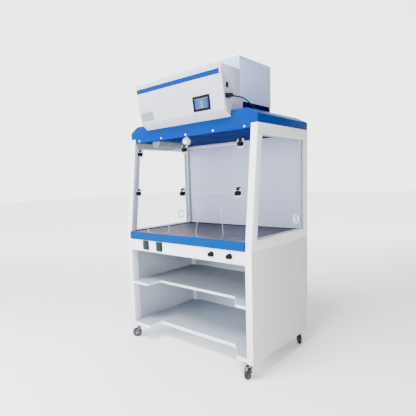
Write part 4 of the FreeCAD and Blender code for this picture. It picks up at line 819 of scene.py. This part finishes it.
def window_seals():
    """A thin grey seal round each side pane, on both of its faces."""
    pane_low, pane_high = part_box("side_windows")
    low, high = pane_low.z, pane_high.z
    outer, pane, width, proud = pane_high.x, 0.005, 0.0035, 0.0012
    stile = pane_low.y - FRONT_PLANE - (low - SEAM_Z) * math.tan(LEAN)

    def front(z):
        return FRONT_PLANE + stile + (z - SEAM_Z) * math.tan(LEAN)

    def strip(foot, head, start, end):
        """Corners of a strip between two heights and the two lines that bound it in depth."""
        return (start(foot), foot), (end(foot), foot), (end(head), head), (start(head), head)

    strips = (
        strip(low, low + width, front, lambda z: pane_high.y),
        strip(high - width, high, front, lambda z: pane_high.y),
        strip(low + width, high - width, lambda z: pane_high.y - width, lambda z: pane_high.y),
        strip(low + width, high - width, front, lambda z: front(z) + width),
    )
    build = Build()
    for side in (-1, 1):
        for x, outward in ((outer, 1), (outer - pane, -1)):
            for corners in strips:
                build.flat([(side * x, y, z) for y, z in corners], proud, (side * outward, 0, 0))
    build.done("window_seals", "seal", "hood", "side_pane")


def hinge_pads():
    """A black pad on each leaf under its star knob."""
    half, top, foot, leaf_out, thickness = 0.0205, 0.0085, 0.037, -0.004, 0.0008
    for row, sash, level in (("top", "upper_sash", UPPER_HINGE), ("mid", "lower_sash", LOWER_HINGE)):
        build = Build()
        for column in ("left", "middle", "right"):
            low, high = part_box("star_knob_%s_%s" % (row, column))
            x = (low.x + high.x) / 2
            outline = (
                (x - half, level - foot), (x + half, level - foot),
                (x + half, level - top), (x - half, level - top),
            )
            corners = [on_slope(across, leaf_out, up) for across, up in outline]
            build.flat(corners, thickness, SLOPE_OUT)
        build.done("hinge_pads_" + row, "hinge_black", body_of(sash), "hinge_black")


def valve_collars():
    """A round black collar behind each valve knob."""
    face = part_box("front_apron")[0].y
    build = Build()
    ring = [(0.0195, 0), (0.0195, 0.0022), (0.0180, 0.0034), (0.0125, 0.0034), (0.0125, 0)]
    for side in ("left", "right"):
        low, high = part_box("valve_knob_" + side)
        centre = (low + high) / 2
        build.turned(ring, (centre.x, face, centre.z), (0, -1, 0), 32)
    build.done("valve_collars", "valve_black", "hood", "valve_black")


def castor_bolts():
    """Four bolts under each top plate and a nut on each end of the axle."""
    plate_low, plate_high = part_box("castor_plates")
    half_plate, bolt_reach, fork_face = 0.032, 0.026, 0.018
    bolt_sink, bolt_radius = 0.003, 0.0042
    nut = [(0.0062, 0), (0.0062, 0.003), (0.0048, 0.0042), (0, 0.0046)]
    bolts = Build()
    for spot in ("front_left", "front_right", "rear_left", "rear_right"):
        low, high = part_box("castor_wheel_" + spot)
        hub = (low + high) / 2
        stem_x = math.copysign(plate_high.x - half_plate, hub.x)
        stem_y = plate_low.y + half_plate if spot.startswith("front") else plate_high.y - half_plate
        for side in (-1, 1):
            for end in (-1, 1):
                place = (stem_x + side * bolt_reach, stem_y + end * bolt_reach, plate_high.z - bolt_sink)
                bolts.screw(place, (0, 0, -1), bolt_radius)
        along = Vector((hub.x - stem_x, hub.y - stem_y, 0)).normalized()
        across = Vector((-along.y, along.x, 0))
        axle = Build()
        for side in (-1, 1):
            axle.turned(nut, hub + across * side * fork_face, across * side, 6)
        axle.done("axle_nuts_" + spot, "steel", body_of("castor_fork_" + spot), "zinc")
    bolts.done("plate_bolts", "steel", "hood", "zinc")


# Stage and light

ROOM_LIGHT = 0.7
BACKDROP_LIGHT = 4.0
FLOOR_GLOW = 2.2
FLOOR_HALF = 30


def backdrop_ramp(tree, place, start, end, low, high):
    """Rises towards the side of the room that is behind the object, as a lit backdrop does."""
    towards = tree.nodes.new("ShaderNodeVectorMath")
    towards.operation = "DOT_PRODUCT"
    towards.inputs[1].default_value = (math.sin(CAMERA_YAW), math.cos(CAMERA_YAW), 0.0)
    tree.links.new(tree.nodes.new("ShaderNodeTexCoord").outputs[place], towards.inputs[0])
    return spread(tree, towards.outputs["Value"], low, high, start, end)


def make_stage():
    """A pale floor and a white room, both brighter behind the object."""
    data = bpy.data.meshes.new("floor")
    half = FLOOR_HALF
    corners = [(-half, -half, 0), (half, -half, 0), (half, half, 0), (-half, half, 0)]
    data.from_pydata(corners, [], [(0, 1, 2, 3)])
    floor = bpy.data.objects.new("floor", data)
    bpy.context.scene.collection.objects.link(floor)
    material, tree, shader = shader_of("pale_floor")
    shader.inputs["Base Color"].default_value = (0.86, 0.86, 0.865, 1)
    shader.inputs["Roughness"].default_value = 0.9
    shader.inputs["Emission Color"].default_value = (0.97, 0.98, 1.0, 1)
    glow = backdrop_ramp(tree, "Object", 1.0, 5.0, 0.0, FLOOR_GLOW)
    tree.links.new(glow, shader.inputs["Emission Strength"])
    data.materials.append(material)
    world = bpy.data.worlds.new("studio")
    world.use_nodes = True
    tree = world.node_tree
    sky = tree.nodes["Background"]
    sky.inputs["Color"].default_value = (0.95, 0.965, 1.0, 1)
    light = backdrop_ramp(tree, "Generated", 0.5, 0.85, ROOM_LIGHT, BACKDROP_LIGHT)
    tree.links.new(light, sky.inputs["Strength"])
    bpy.context.scene.world = world


def area_light(name, place, target, size, power, colour, mirrored=True):
    data = bpy.data.lights.new(name, "AREA")
    data.shape = "DISK"
    data.size = size
    data.energy = power
    data.color = colour
    lamp = bpy.data.objects.new(name, data)
    bpy.context.scene.collection.objects.link(lamp)
    place, target = Vector(place), Vector(target)
    lamp.location = place
    lamp.rotation_euler = (target - place).to_track_quat("-Z", "Y").to_euler()
    lamp.visible_glossy = mirrored


def make_lights():
    """A high soft key, two low fills, a top light and a warm light on the right side."""
    warm_white, cool_white = (1.0, 0.99, 0.975), (0.96, 0.98, 1.0)
    area_light("key", (0.2, -3.0, 6.2), (0, -0.2, 1.0), 2.4, 780, warm_white, mirrored=False)
    area_light("fill_left", (-1.9, -3.6, 1.7), (0.2, 0, 0.4), 2.4, 300, cool_white, mirrored=False)
    area_light("fill_right", (1.2, -3.6, 1.5), (0.0, 0, 0.6), 2.0, 130, cool_white, mirrored=False)
    area_light("top", (0.2, -0.8, 4.6), (0, 0, 1.1), 2.0, 60, (0.98, 0.99, 1.0))
    area_light("side", (2.9, -1.9, 1.2), (0.6, -0.1, 1.1), 1.2, 26, (1.0, 0.93, 0.84), mirrored=False)


make_camera()
dress_nodes()
mains_lead()
fascia_caps()
face_stripe()
blank_plate()
display()
side_screws()
rear_fittings()
unit_fittings()
window_seals()
hinge_pads()
valve_collars()
castor_bolts()
make_stage()
make_lights()
